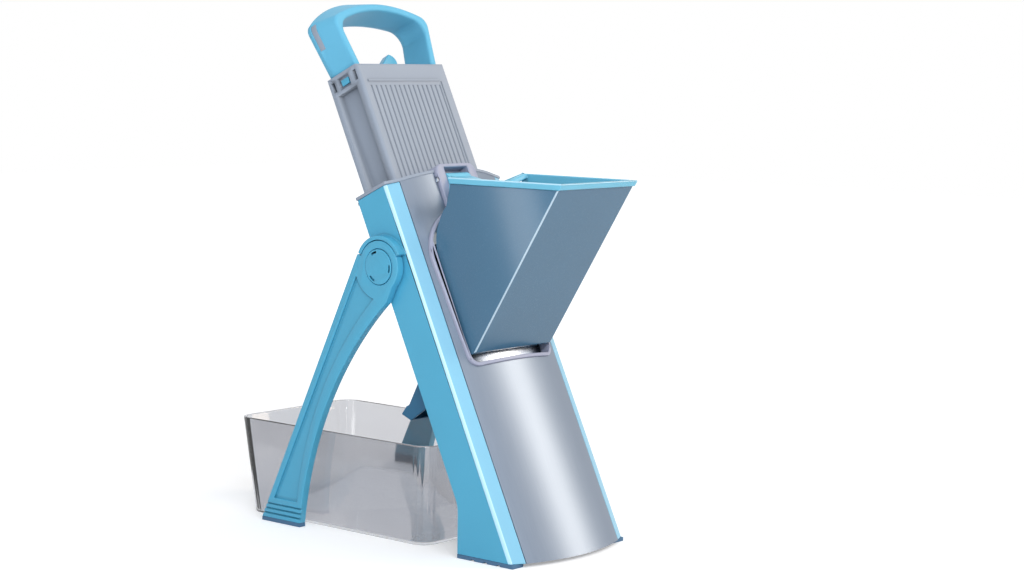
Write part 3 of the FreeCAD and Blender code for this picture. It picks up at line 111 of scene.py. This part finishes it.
# Matt white paper that is lit from behind, more so away from the slicer: the ground stays white up to
# the picture's edge, and the soft shadow shows only round the feet.
sweep_half = 4
glow_from, glow_to, glow_least, glow_most = 0.3, 1.6, 0.34, 0.8
corners = [(x * sweep_half, y * sweep_half, 0) for x, y in ((-1, -1), (1, -1), (1, 1), (-1, 1))]
sweep_mesh = bpy.data.meshes.new("sweep")
sweep_mesh.from_pydata(corners, [], [(0, 1, 2, 3)])
sweep = bpy.data.objects.new("sweep", sweep_mesh)
sweep_paper = bpy.data.materials.new("white_paper")
sweep_paper.use_nodes = True
paper = sweep_paper.node_tree
paper.nodes.clear()
paper_matt = add_node(paper, "ShaderNodeBsdfDiffuse", {"Color": shade("#E9EBEE")})
paper_place = add_node(paper, "ShaderNodeTexCoord").outputs["Object"]
paper_reach = add_node(paper, "ShaderNodeVectorMath", {0: paper_place}, operation="LENGTH")
paper_fade = add_node(paper, "ShaderNodeMapRange", {
    0: paper_reach.outputs["Value"], 1: glow_from, 2: glow_to, 3: glow_least, 4: glow_most})
paper_glow = add_node(paper, "ShaderNodeEmission", {
    "Color": shade("#FFFFFF"), "Strength": paper_fade.outputs[0]})
paper_both = add_node(paper, "ShaderNodeAddShader", {0: paper_matt.outputs[0], 1: paper_glow.outputs[0]})
paper_mix = add_node(paper, "ShaderNodeMixShader", {
    0: seen_directly(paper), 1: paper_matt.outputs[0], 2: paper_both.outputs[0]})
add_node(paper, "ShaderNodeOutputMaterial", {"Surface": paper_mix.outputs[0]})
sweep_mesh.materials.append(sweep_paper)
bpy.context.collection.objects.link(sweep)


def soft_lamp(name, place, aim, width, height, watts, tint="#FFFFFF"):
    """A soft box of this width and height, hung at its place and turned to its aim."""
    lamp = bpy.data.lights.new(name, "AREA")
    lamp.shape = "RECTANGLE"
    lamp.size = width
    lamp.size_y = height
    lamp.energy = watts
    lamp.color = shade(tint)[:3]
    box = bpy.data.objects.new(name, lamp)
    box.location = place
    box.rotation_euler = (Vector(aim) - Vector(place)).to_track_quat("-Z", "Y").to_euler()
    bpy.context.collection.objects.link(box)


soft_lamp("key_lamp", (-0.7, -1.6, 1.1), (0, 0, 0.2), 0.9, 0.9, 14)
soft_lamp("lens_lamp", (-1.05, -1.0, 1.0), (0, 0, 0.2), 0.3, 0.3, 7)
soft_lamp("left_lamp", (-1.45, 0.15, 0.46), (0, -0.1, 0.25), 0.4, 0.4, 2.6)
soft_lamp("band_lamp", (1.13, -1.03, 0.88), (0, 0, 0.15), 0.5, 1.3, 11, "#FFEBD2")
soft_lamp("top_lamp", (0.2, 0.3, 1.6), (0, 0, 0.2), 1.2, 1.2, 5)


# Side panels: two hollow mouldings in sky-blue ABS, each with a bevelled front and a guard round the leg's
# hub; the rear housing's screws hold them together. The mould leaves a fine grain and soft edges. The thin
# bright line along the front edges and the paler bevel are painted highlights.
def plastic(name, colour, roughness, grain_mm=0.9, grain_depth_mm=0.01, drift=0.05, coat=0.0, sheen=0.5,
            corner_mm=3):
    """Injection-moulded plastic: a slight drift of colour, a fine moulded grain, and painted shade in
    corners.

    The real grain is about 0.2 mm; it is drawn coarser so that it shows. A sheen of 0.5 is the plastic's
    own, and less is a more matt mould. Painted shade darkens hollows where a wall stands nearer than
    corner_mm.
    """
    cloud_mm, painted_shade_tone, gloss_drift = 45, 0.35, 0.04
    material = bpy.data.materials.new(name)
    material.use_nodes = True
    tree = material.node_tree
    tree.nodes.clear()
    place = add_node(tree, "ShaderNodeTexCoord").outputs["Object"]
    cloud = add_node(tree, "ShaderNodeTexNoise", {"Vector": place, "Scale": 1000 / cloud_mm, "Detail": 2.0})
    base = shade(colour)
    dark = (*[c * (1 - drift) for c in base[:3]], 1)
    light = (*[min(1, c * (1 + drift)) for c in base[:3]], 1)
    colour_mix = add_node(tree, "ShaderNodeMix", {
        0: cloud.outputs[0], 6: dark, 7: light}, data_type="RGBA")
    # Painted shade: hollows and corners where ambient occlusion finds a wall within corner_mm turn darker.
    corner = (*[c * painted_shade_tone for c in base[:3]], 1)
    openness = add_node(tree, "ShaderNodeAmbientOcclusion", {"Distance": corner_mm / 1000}, samples=8,
                        only_local=True)
    painted_shade_mix = add_node(tree, "ShaderNodeMix", {
        0: openness.outputs["AO"], 6: corner, 7: colour_mix.outputs[2]}, data_type="RGBA")
    grain = add_node(tree, "ShaderNodeTexNoise", {
        "Vector": place, "Scale": 1000 / grain_mm, "Detail": 1.0})
    gloss = add_node(tree, "ShaderNodeMapRange", {
        0: grain.outputs[0], 3: roughness - gloss_drift, 4: roughness + gloss_drift})
    bump = add_node(tree, "ShaderNodeBump", {
        "Height": grain.outputs[0], "Strength": 0.6, "Distance": grain_depth_mm / 1000})
    surface = add_node(tree, "ShaderNodeBsdfPrincipled", {
        "Base Color": painted_shade_mix.outputs[2], "Roughness": gloss.outputs[0], "Normal": bump.outputs[0],
        "IOR": 1.45, "Specular IOR Level": sheen, "Coat Weight": coat, "Coat Roughness": 0.15})
    add_node(tree, "ShaderNodeOutputMaterial", {"Surface": surface.outputs[0]})
    return material


def soften(node, body, material, edge_mm, edge_angle=28, wide_mm=0, wide=None, others=(),
           reshape=None):
    """The CAD node's own form with its corners rounded, as they come from the mould.

    Edges sharper than edge_angle get a rounding of edge_mm, or stay sharp where that is 0. The edges that
    the test wide picks out are rounded first, by wide_mm. Where other materials are given, the first
    rounding takes the first of them. Where reshape is given, it changes the form before any rounding.
    """
    same_point, flat_angle = 2e-6, radians(0.6)
    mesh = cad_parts[node].data.copy()
    mesh.name = f"{node}_moulded"
    mesh.materials.clear()
    for each in (material, *others):
        mesh.materials.append(each)
    form = bmesh.new()
    form.from_mesh(mesh)
    bmesh.ops.remove_doubles(form, verts=form.verts, dist=same_point)
    if reshape:
        reshape(form)
    if edge_mm:
        bmesh.ops.dissolve_limit(form, angle_limit=flat_angle, verts=form.verts, edges=form.edges)
    for face in form.faces:
        face.smooth = True
    if wide_mm:
        weight = form.edges.layers.float.new("bevel_weight_edge")
        for edge in form.edges:
            edge[weight] = float(wide(edge))
    form.to_mesh(mesh)
    form.free()
    piece = bpy.data.objects.new(mesh.name, mesh)
    bpy.context.collection.objects.link(piece)
    roundings = [(wide_mm, "WEIGHT", 5)] * bool(wide_mm) + [(edge_mm, "ANGLE", 3)] * bool(edge_mm)
    for order, (width_mm, limit, segments) in enumerate(roundings):
        rounding = piece.modifiers.new(f"rounded_{width_mm}_mm", "BEVEL")
        rounding.width = width_mm / 1000
        rounding.segments = segments
        rounding.limit_method = limit
        rounding.angle_limit = radians(edge_angle)
        rounding.use_clamp_overlap = False
        rounding.miter_outer = "MITER_ARC"
        rounding.harden_normals = not wide_mm
        if others and order == 0:
            rounding.material = 1
    if not edge_mm:
        mesh.set_sharp_from_angle(angle=radians(edge_angle))
    if wide_mm or not edge_mm:
        flats = piece.modifiers.new("flat_faces_stay_flat", "WEIGHTED_NORMAL")
        flats.keep_sharp = not edge_mm
    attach(piece, body)
    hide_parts(node)
    return piece


# The body leans back about its foot: leaning carries a place in the upright body to where it stands.
lean = radians(25.5)
body_foot = -0.135831
leaning = Matrix.Translation((0, body_foot, 0)) @ Matrix.Rotation(-lean, 4, "X")
side_out, bevel_back, bevel_length, bevel_turn = 0.0625, 0.016, 0.05, radians(20)


def side_front_edge(edge):
    """The long edge where a side turns into its bevelled front."""
    if len(edge.link_faces) != 2 or edge.calc_length() < bevel_length:
        return False
    ends = [leaning.inverted() @ vert.co for vert in edge.verts]
    at_front = all(abs(end.x) > side_out and end.y < bevel_back for end in ends)
    return at_front and edge.calc_face_angle() > bevel_turn


# Sky-blue ABS: an even satin blue. Paler copies of it lie on the rounded front edges and the bevelled
# fronts as painted highlights, where they would mirror the white room.
sky_abs = plastic("sky_blue_abs", "#4CA7CA", 0.32)
sky_painted_highlight = plastic("sky_blue_abs_polished_edge", "#B4E2F7", 0.25)
sky_bevel_painted_highlight = plastic("sky_blue_abs_polished_bevel", "#7FBEDC", 0.3)


def paint_bevel_highlight(form):
    """Gives the bevelled front, which faces forwards and sideways at once, the last of the materials: a
    painted highlight.
    """
    slant = 0.3
    for face in form.faces:
        facing = leaning.inverted().to_3x3() @ face.normal
        if abs(facing.x) > slant and facing.y < -slant:
            face.material_index = 2


for side in ("left", "right"):
    soften(f"side_panel_{side}", "body", sky_abs, 0.7, wide_mm=1.8, wide=side_front_edge,
           others=(sky_painted_highlight, sky_bevel_painted_highlight), reshape=paint_bevel_highlight)


# Front panel: a bowed sheet of brushed aluminium, held between the two sides. Its fine upright lines
# spread the lamp's reflection sideways into one wide soft band.
def brushed_metal(name, colour, roughness, line_mm, along, tilt=0.0, shaded_from_mm=0):
    """Ground or brushed metal: fine lines along one axis, tilted back, break up the reflections.

    The real lines are under 0.1 mm apart; they are drawn coarser so that they show. Where shaded_from_mm
    is given, painted shade turns the metal dark from there to twice as far from its middle.
    """
    line_stretch, tone_drift, gloss_drift = 60, 0.07, 0.06
    material = bpy.data.materials.new(name)
    material.use_nodes = True
    tree = material.node_tree
    tree.nodes.clear()
    place = add_node(tree, "ShaderNodeTexCoord").outputs["Object"]
    line_size = [line_mm / 1000] * 3
    line_size[along] *= line_stretch
    lines_at = add_node(tree, "ShaderNodeMapping", {
        "Vector": place, "Rotation": (-tilt, 0, 0), "Scale": line_size}, vector_type="TEXTURE")
    lines = add_node(tree, "ShaderNodeTexNoise", {
        "Vector": lines_at.outputs[0], "Scale": 1.0, "Detail": 2.0})
    gloss = add_node(tree, "ShaderNodeMapRange", {
        0: lines.outputs[0], 3: roughness - gloss_drift, 4: roughness + gloss_drift})
    dark = (*[c * (1 - tone_drift) for c in shade(colour)[:3]], 1)
    light = (*[min(1, c * (1 + tone_drift)) for c in shade(colour)[:3]], 1)
    colour_mix = add_node(tree, "ShaderNodeMix", {
        0: lines.outputs[0], 6: dark, 7: light}, data_type="RGBA")
    tint = colour_mix.outputs[2]
    # Painted shade: the colour turns dark towards both ends.
    if shaded_from_mm:
        across = add_node(tree, "ShaderNodeSeparateXYZ", {0: place}).outputs[0]
        off_middle = add_node(tree, "ShaderNodeMath", {0: across}, operation="ABSOLUTE")
        shaded = add_node(tree, "ShaderNodeMapRange", {
            0: off_middle.outputs[0], 1: shaded_from_mm / 1000, 2: shaded_from_mm / 500},
            interpolation_type="SMOOTHSTEP")
        tint = add_node(tree, "ShaderNodeMix", {
            0: shaded.outputs[0], 6: tint, 7: shade("#2B3138")}, data_type="RGBA").outputs[2]
    bump = add_node(tree, "ShaderNodeBump", {
        "Height": lines.outputs[0], "Strength": 0.2, "Distance": 0.00001})
    surface = add_node(tree, "ShaderNodeBsdfPrincipled", {
        "Base Color": tint, "Metallic": 1.0, "Roughness": gloss.outputs[0], "Normal": bump.outputs[0]})
    add_node(tree, "ShaderNodeOutputMaterial", {"Surface": surface.outputs[0]})
    return material


# Brushed aluminium: a cool, silky grey that is bright only where it faces a lamp.
aluminium = brushed_metal("brushed_aluminium", "#818D9E", 0.36, 0.35, 2, tilt=lean)
bow_half, bow_rise = 0.0523, 0.009
bow_axis = (bow_half ** 2 + bow_rise ** 2) / (2 * bow_rise) - bow_rise


def shade_round(piece, outward):
    """Makes a piece's mesh plain and shades its faces by the round that they stand for.

    From a place in the upright body, outward gives the direction in which that round faces there. Faces
    that point elsewhere keep their own shading.
    """
    alike = 0.85
    mesh = bpy.data.meshes.new_from_object(piece.evaluated_get(bpy.context.evaluated_depsgraph_get()))
    piece.modifiers.clear()
    piece.data = mesh
    upright = leaning.inverted()
    normals = [corner.vector.copy() for corner in mesh.corner_normals]
    for face in mesh.polygons:
        for corner in face.loop_indices:
            guide = outward(upright @ mesh.vertices[mesh.loops[corner].vertex_index].co).normalized()
            agrees = (upright.to_3x3() @ face.normal).dot(guide)
            if abs(agrees) > alike:
                normals[corner] = leaning.to_3x3() @ (copysign(1, agrees) * guide)
    mesh.normals_split_custom_set(normals)


panel = soften("front_panel", "body", aluminium, 0)
shade_round(panel, lambda place: Vector((place.x, place.y - bow_axis, 0)))

# Bezel: a bead of lavender-grey ABS that lines the feed opening and hides the panel's cut edge. It is
# moulded in one piece and set in from the front; its satin skin takes only soft highlights.
bead_grey = plastic("lavender_grey_abs", "#9BA0B6", 0.34)
soften("opening_bezel", "body", bead_grey, 0.7)

# Feed lip: a bowed strip of bright steel across the opening's foot, just under the chute. Its ends are
# drawn dark as painted shade of the opening, so the bright patch stays in the middle.
lip_steel = brushed_metal("shaded_stainless_strip", "#C0CADA", 0.28, 0.5, 0, shaded_from_mm=20)
soften("feed_lip", "body", lip_steel, 0)

# Bracket and hinge pin: a grey moulded block in a U at the top of the panel, with a steel pin across it
# on which the chute swings. The pin is ground stainless steel, bright and nearly mirror-like.
steel = brushed_metal("ground_stainless_steel", "#E4E6E8", 0.16, 0.5, 0)
soften("chute_bracket", "body", bead_grey, 1.0)
soften("chute_hinge_pin", "body", steel, 0.4)

# Top collar: an arched strip that closes the body round the slider, pressed in between the sides. It is
# moulded in the slider's pale grey ABS, which is satin; painted shade darkens it softly in its channels.
slider_grey = plastic("pale_grey_abs", "#909BAB", 0.42, corner_mm=26)
soften("top_collar", "body", slider_grey, 0.5)

# Base plate, rear housing, inner guides, rails and cranks: the slicer's frame and its adjusting gear,
# plain slate ABS as it leaves the mould, screwed or slid into the sides. It is dull and dark.
inner_slate = plastic("slate_abs_inside", "#46566A", 0.5)
for node, edge_mm in (("base_plate", 0.4), ("inner_guide_left", 0), ("inner_guide_right", 0),
                      ("rear_housing", 0.4)):
    soften(node, "body", inner_slate, edge_mm)
for node, body in (("thickness_rail", "thickness_shifter"), ("strip_rail", "strip_shifter"),
                   ("thickness_crank", "thickness_knob"), ("strip_crank", "strip_knob")):
    soften(node, body, inner_slate, 0)

# Dials: two discs of the sides' blue ABS that lie flush in the right side, each with two finger hollows
# and a grip bar between them. A crank behind each one holds it in its hole.
for node, body in (("thickness_dial", "thickness_knob"), ("strip_dial", "strip_knob")):
    soften(node, body, sky_abs, 0.5)

# Rubber pads: slate rubber feet, moulded flat and pressed on under the body and the legs. Rubber is dull,
# with a fine open grain, so it shows hardly any highlight.
rubber = plastic("slate_rubber", "#4A6E8E", 0.72, grain_mm=0.8, grain_depth_mm=0.04)
for side in ("left", "right"):
    soften(f"foot_pad_{side}", "body", rubber, 0.4)
    soften(f"leg_pad_{side}", f"{side}_leg", rubber, 0.4)

# Return springs on their rods: open coils of round steel wire that lift the slider again. They stand
# on the housing's shelves and are pressed together from above; here each is drawn with even coils at one
# length.
spring_foot, spring_top, spring_pressed = 0.164, 0.376, 0.09
spring_half, spring_depth = 0.033, 0.0352
coil_radius, wire_radius, coil_turns = 0.0026, 0.0005, 14.0
spring_rule = bpy.data.node_groups.new("return_spring_rule", "GeometryNodeTree")
for size in ("Length", "Coil Radius", "Wire Radius", "Turns"):
    spring_rule.interface.new_socket(size, in_out="INPUT", socket_type="NodeSocketFloat")
spring_rule.interface.new_socket("Metal", in_out="INPUT", socket_type="NodeSocketMaterial")
spring_rule.interface.new_socket("Spring", in_out="OUTPUT", socket_type="NodeSocketGeometry")
given = add_node(spring_rule, "NodeGroupInput").outputs
helix = add_node(spring_rule, "GeometryNodeCurveSpiral", {
    "Resolution": 20, "Rotations": given["Turns"], "Start Radius": given["Coil Radius"],
    "End Radius": given["Coil Radius"], "Height": given["Length"]})
wire = add_node(spring_rule, "GeometryNodeCurvePrimitiveCircle", {
    "Resolution": 8, "Radius": given["Wire Radius"]})
swept = add_node(spring_rule, "GeometryNodeCurveToMesh", {
    "Curve": helix.outputs[0], "Profile Curve": wire.outputs[0], "Fill Caps": True})
solid = add_node(spring_rule, "GeometryNodeRealizeInstances", {0: swept.outputs[0]})
drawn = add_node(spring_rule, "GeometryNodeSetMaterial", {
    "Geometry": solid.outputs[0], "Material": given["Metal"]})
add_node(spring_rule, "NodeGroupOutput", {0: drawn.outputs[0]})


def made_by(rule, values, placed):
    """The plain mesh that a rule makes from its named inputs, carried to its place."""
    carrier = bpy.data.objects.new(rule.name, bpy.data.meshes.new(rule.name))
    bpy.context.collection.objects.link(carrier)
    modifier = carrier.modifiers.new(rule.name, "NODES")
    modifier.node_group = rule
    for socket in rule.interface.items_tree:
        if socket.name in values:
            modifier[socket.identifier] = values[socket.name]
    mesh = bpy.data.meshes.new_from_object(carrier.evaluated_get(bpy.context.evaluated_depsgraph_get()))
    bpy.data.objects.remove(carrier)
    mesh.transform(placed)
    form = bmesh.new()
    form.from_mesh(mesh)
    bmesh.ops.recalc_face_normals(form, faces=form.faces)
    form.to_mesh(mesh)
    form.free()
    mesh.shade_smooth()
    return mesh


for side, sign in (("left", -1), ("right", 1)):
    soften(f"spring_rod_{side}", "body", steel, 0.3)
    foot = (sign * spring_half, spring_depth, spring_foot)
    on_shelf = leaning @ Matrix.Translation(foot) @ Matrix.Translation((0, 0, wire_radius))
    coil = made_by(spring_rule, {
        "Length": spring_top - spring_foot - 2 * wire_radius, "Coil Radius": coil_radius,
        "Wire Radius": wire_radius, "Turns": coil_turns, "Metal": steel}, on_shelf)
    spring = bpy.data.objects.new(f"return_spring_{side}_coil", coil)
    bpy.context.collection.objects.link(spring)
    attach(spring, "body")
    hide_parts(f"return_spring_{side}")
    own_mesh(spring)

# Housing screws: six pan-head steel screws with a cross recess hold the rear housing's flanges to the
# sides. They are made by rule, one head at each point of a grid of two columns. A head is a stack of
# rings, each with its radius and height in mm, and the last two sink into the cross.
head_rings = ((2.7, 0.0), (2.7, 0.7), (2.2, 1.3), (1.6, 1.55), (1.45, 1.6), (1.2, 0.7))
recess_arm = (1.0, 0.72, 0.36, 0.32, 0.36, 0.72)
head_steps, plain_rings = 24, 4
step_angle = radians(360 / head_steps)
head_form = bmesh.new()
rings = []
for ring, (radius, height) in enumerate(head_rings):
    verts = []
    for step in range(head_steps):
        arm = recess_arm[step % len(recess_arm)] if ring >= plain_rings else 1
        across, up = radius * arm * cos(step * step_angle), radius * arm * sin(step * step_angle)
        verts.append(head_form.verts.new((across / 1000, up / 1000, height / 1000)))
    rings.append(verts)
for low, high in zip(rings, rings[1:]):
    for step in range(head_steps):
        after = (step + 1) % head_steps
        head_form.faces.new((low[step], low[after], high[after], high[step]))
head_form.faces.new(rings[-1])
head_form.faces.new(reversed(rings[0]))
head_mesh = bpy.data.meshes.new("screw_head")
head_form.to_mesh(head_mesh)
head_form.free()
head = bpy.data.objects.new("screw_head", head_mesh)
screw_rule = bpy.data.node_groups.new("housing_screw_rule", "GeometryNodeTree")
for size, kind in (("Width", "Float"), ("Height", "Float"), ("Rows", "Int"), ("Head", "Object"),
                   ("Metal", "Material")):
    screw_rule.interface.new_socket(size, in_out="INPUT", socket_type=f"NodeSocket{kind}")
screw_rule.interface.new_socket("Screws", in_out="OUTPUT", socket_type="NodeSocketGeometry")
given = add_node(screw_rule, "NodeGroupInput").outputs
grid = add_node(screw_rule, "GeometryNodeMeshGrid", {
    "Size X": given["Width"], "Size Y": given["Height"], "Vertices X": 2, "Vertices Y": given["Rows"]})
one_head = add_node(screw_rule, "GeometryNodeObjectInfo", {"Object": given["Head"]})
heads = add_node(screw_rule, "GeometryNodeInstanceOnPoints", {
    "Points": grid.outputs[0], "Instance": one_head.outputs["Geometry"]})
solid = add_node(screw_rule, "GeometryNodeRealizeInstances", {0: heads.outputs[0]})
turned = add_node(screw_rule, "GeometryNodeSetMaterial", {
    "Geometry": solid.outputs[0], "Material": given["Metal"]})
add_node(screw_rule, "NodeGroupOutput", {0: turned.outputs[0]})
flange_back, screw_middle = 0.0375, 0.175
screw_span, screw_rise, screw_rows = 0.113, 0.2, 3
on_flanges = Matrix.Translation((0, flange_back, screw_middle)) @ Matrix.Rotation(-radians(90), 4, "X")
screw_mesh = made_by(screw_rule, {
    "Width": screw_span, "Height": screw_rise, "Rows": screw_rows, "Head": head, "Metal": steel},
    leaning @ on_flanges)
screw_mesh.set_sharp_from_angle(angle=radians(35))
bpy.data.objects.remove(head)
screws = bpy.data.objects.new("housing_screws", screw_mesh)
bpy.context.collection.objects.link(screws)
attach(screws, "body")

# Hood: a spout at the back that turns the slices down into the bin, hung on the rear housing. It is
# moulded in slate ABS and satin; its colour is drawn darker than the chute's as painted shade.
hood_slate_painted_shade = plastic("deep_slate_abs", "#1E648A", 0.4)
soften("discharge_hood", "body", hood_slate_painted_shade, 0.7)

# Slider: a pale grey moulded box section with a ribbed plate, which runs in the inner guides and carries
# the blade, the thickness plate and the strip comb. Blade and plate are satin-ground steel, which looks
# dim behind the chute.
soften("slider_frame", "slider", slider_grey, 0)
blade_steel = brushed_metal("satin_blade_steel", "#8F949A", 0.32, 0.4, 0)
soften("slicing_blade", "slider", blade_steel, 0)
soften("thickness_plate", "thickness_bed", blade_steel, 0.2)
soften("strip_comb", "strip_cutters", slider_grey, 0)

# Handle: a rounded loop of blue ABS on the slider's block, with grey stripes let into it, side latches
# that hold it and the lock tab behind it. The grip is moulded matt. Its blue is drawn lighter than the
# sides' as painted light on its outer faces, and painted shade makes it deep blue inside.
grip_abs = plastic("sky_blue_abs_matt_grip", "#68B6D8", 0.45, sheen=0.16, corner_mm=60)
soften("handle", "slider", grip_abs, 0, edge_angle=40)
soften("handle_stripes", "slider", slider_grey, 0.2)
soften("handle_latches", "slider", sky_abs, 0.5)
soften("lock_tab", "lock", sky_abs, 0.8)

# Chute: a slate ABS shell round a light blue liner, whose rim folds over the shell's top edge. Both are
# moulded with polished walls, and the liner's lug hangs on the bracket's pin. The shell has a soft deep
# sheen. A fine pale line where its side walls turn into the front wall, and one along the rim's upper
# edge, are painted highlights.
slate_abs = plastic("slate_blue_abs", "#406A87", 0.26, grain_mm=0.4, grain_depth_mm=0.002, coat=0.1)
slate_painted_highlight = plastic("slate_blue_abs_polished_edge", "#B4CCDD", 0.2)
chute_half, chute_edge_length, rim_half, rim_top = 0.0426, 0.12, 0.0435, 0.269
bar_front, bar_back, bar_foot, bar_top = -0.0401, -0.0359, 0.2758, 0.2694
level_half, bar_drop, slack = 0.015, 0.007, 0.0001
wall_back, wall_turn = -0.02, 4.2


def chute_front_edge(edge):
    """The long outer edge where a side wall turns into the front wall."""
    outside = all(abs(vert.co.x) > chute_half - slack for vert in edge.verts)
    return outside and edge.calc_length() > chute_edge_length


def rim_outer_edge(edge):
    """The upper outer edge of the rim, round its three sides."""
    return all(vert.co.z > rim_top - slack and abs(vert.co.x) > rim_half - slack for vert in edge.verts)


def sag_rear_bar(form):
    """Levels the bar that carries the hinge lug with the rim and lets it sag between the walls."""
    def on_bar(vert):
        place = leaning.inverted() @ vert.co
        return bar_front < place.y < bar_back and place.z > bar_foot

    for cut in (-level_half, level_half):
        faces = [face for face in form.faces if all(on_bar(vert) for vert in face.verts)]
        parts = dict.fromkeys(part for face in faces for part in (*face.verts, *face.edges, face))
        bmesh.ops.bisect_plane(form, geom=list(parts), plane_co=(cut, 0, 0), plane_no=(1, 0, 0))
    for vert in [vert for vert in form.verts if on_bar(vert)]:
        vert.co.z = min(vert.co.z, bar_top) - bar_drop * (abs(vert.co.x) < level_half + slack)


def wall_outward(place):
    """The side walls stand for slightly bowed ones, which turn forward more and more from wall_back on."""
    return Vector((copysign(1, place.x), min(0, wall_turn * (place.y - wall_back)), 0))


shell = soften("chute_shell", "chute", slate_abs, 0.6, wide_mm=0.9, wide=chute_front_edge,
               others=(slate_painted_highlight,))
shade_round(shell, wall_outward)
rim_abs = plastic("light_blue_abs", "#6DBDDA", 0.3)
# The rim's upper outer edge takes the pale sky blue as a painted highlight.
soften("chute_liner", "chute", rim_abs, 0.8, wide_mm=0.8, wide=rim_outer_edge,
       others=(sky_painted_highlight,), reshape=sag_rear_bar)

# Legs: bowed arms of the sides' blue ABS, hollowed out to a raised rim. They fold on the bosses of the
# sides, and round caps with three slots hold them there.
for side in ("left", "right"):
    soften(f"leg_{side}", f"{side}_leg", sky_abs, 0.6)
    soften(f"pivot_cap_{side}", "body", sky_abs, 0.4)

# Catch bin: a tray of clear acrylic with a faint smoke tint, moulded in one piece with polished walls,
# which stands loose on the table. It is seen by its dark edges and by a slow ripple in the walls.
ripple_mm = 30
clear = bpy.data.materials.new("smoke_clear_plastic")
clear.use_nodes = True
glaze = clear.node_tree
glaze.nodes.clear()
glaze_place = add_node(glaze, "ShaderNodeTexCoord").outputs["Object"]
ripple = add_node(glaze, "ShaderNodeTexNoise", {
    "Vector": glaze_place, "Scale": 1000 / ripple_mm, "Detail": 1.0})
ripple_bump = add_node(glaze, "ShaderNodeBump", {
    "Height": ripple.outputs[0], "Strength": 0.1, "Distance": 0.0004})
clear_surface = add_node(glaze, "ShaderNodeBsdfPrincipled", {
    "Base Color": shade("#D6D7DB"), "Roughness": 0.04, "IOR": 1.49, "Transmission Weight": 1.0,
    "Normal": ripple_bump.outputs[0]})
add_node(glaze, "ShaderNodeOutputMaterial", {"Surface": clear_surface.outputs[0]})
soften("catch_bin", "bin", clear, 0.8)
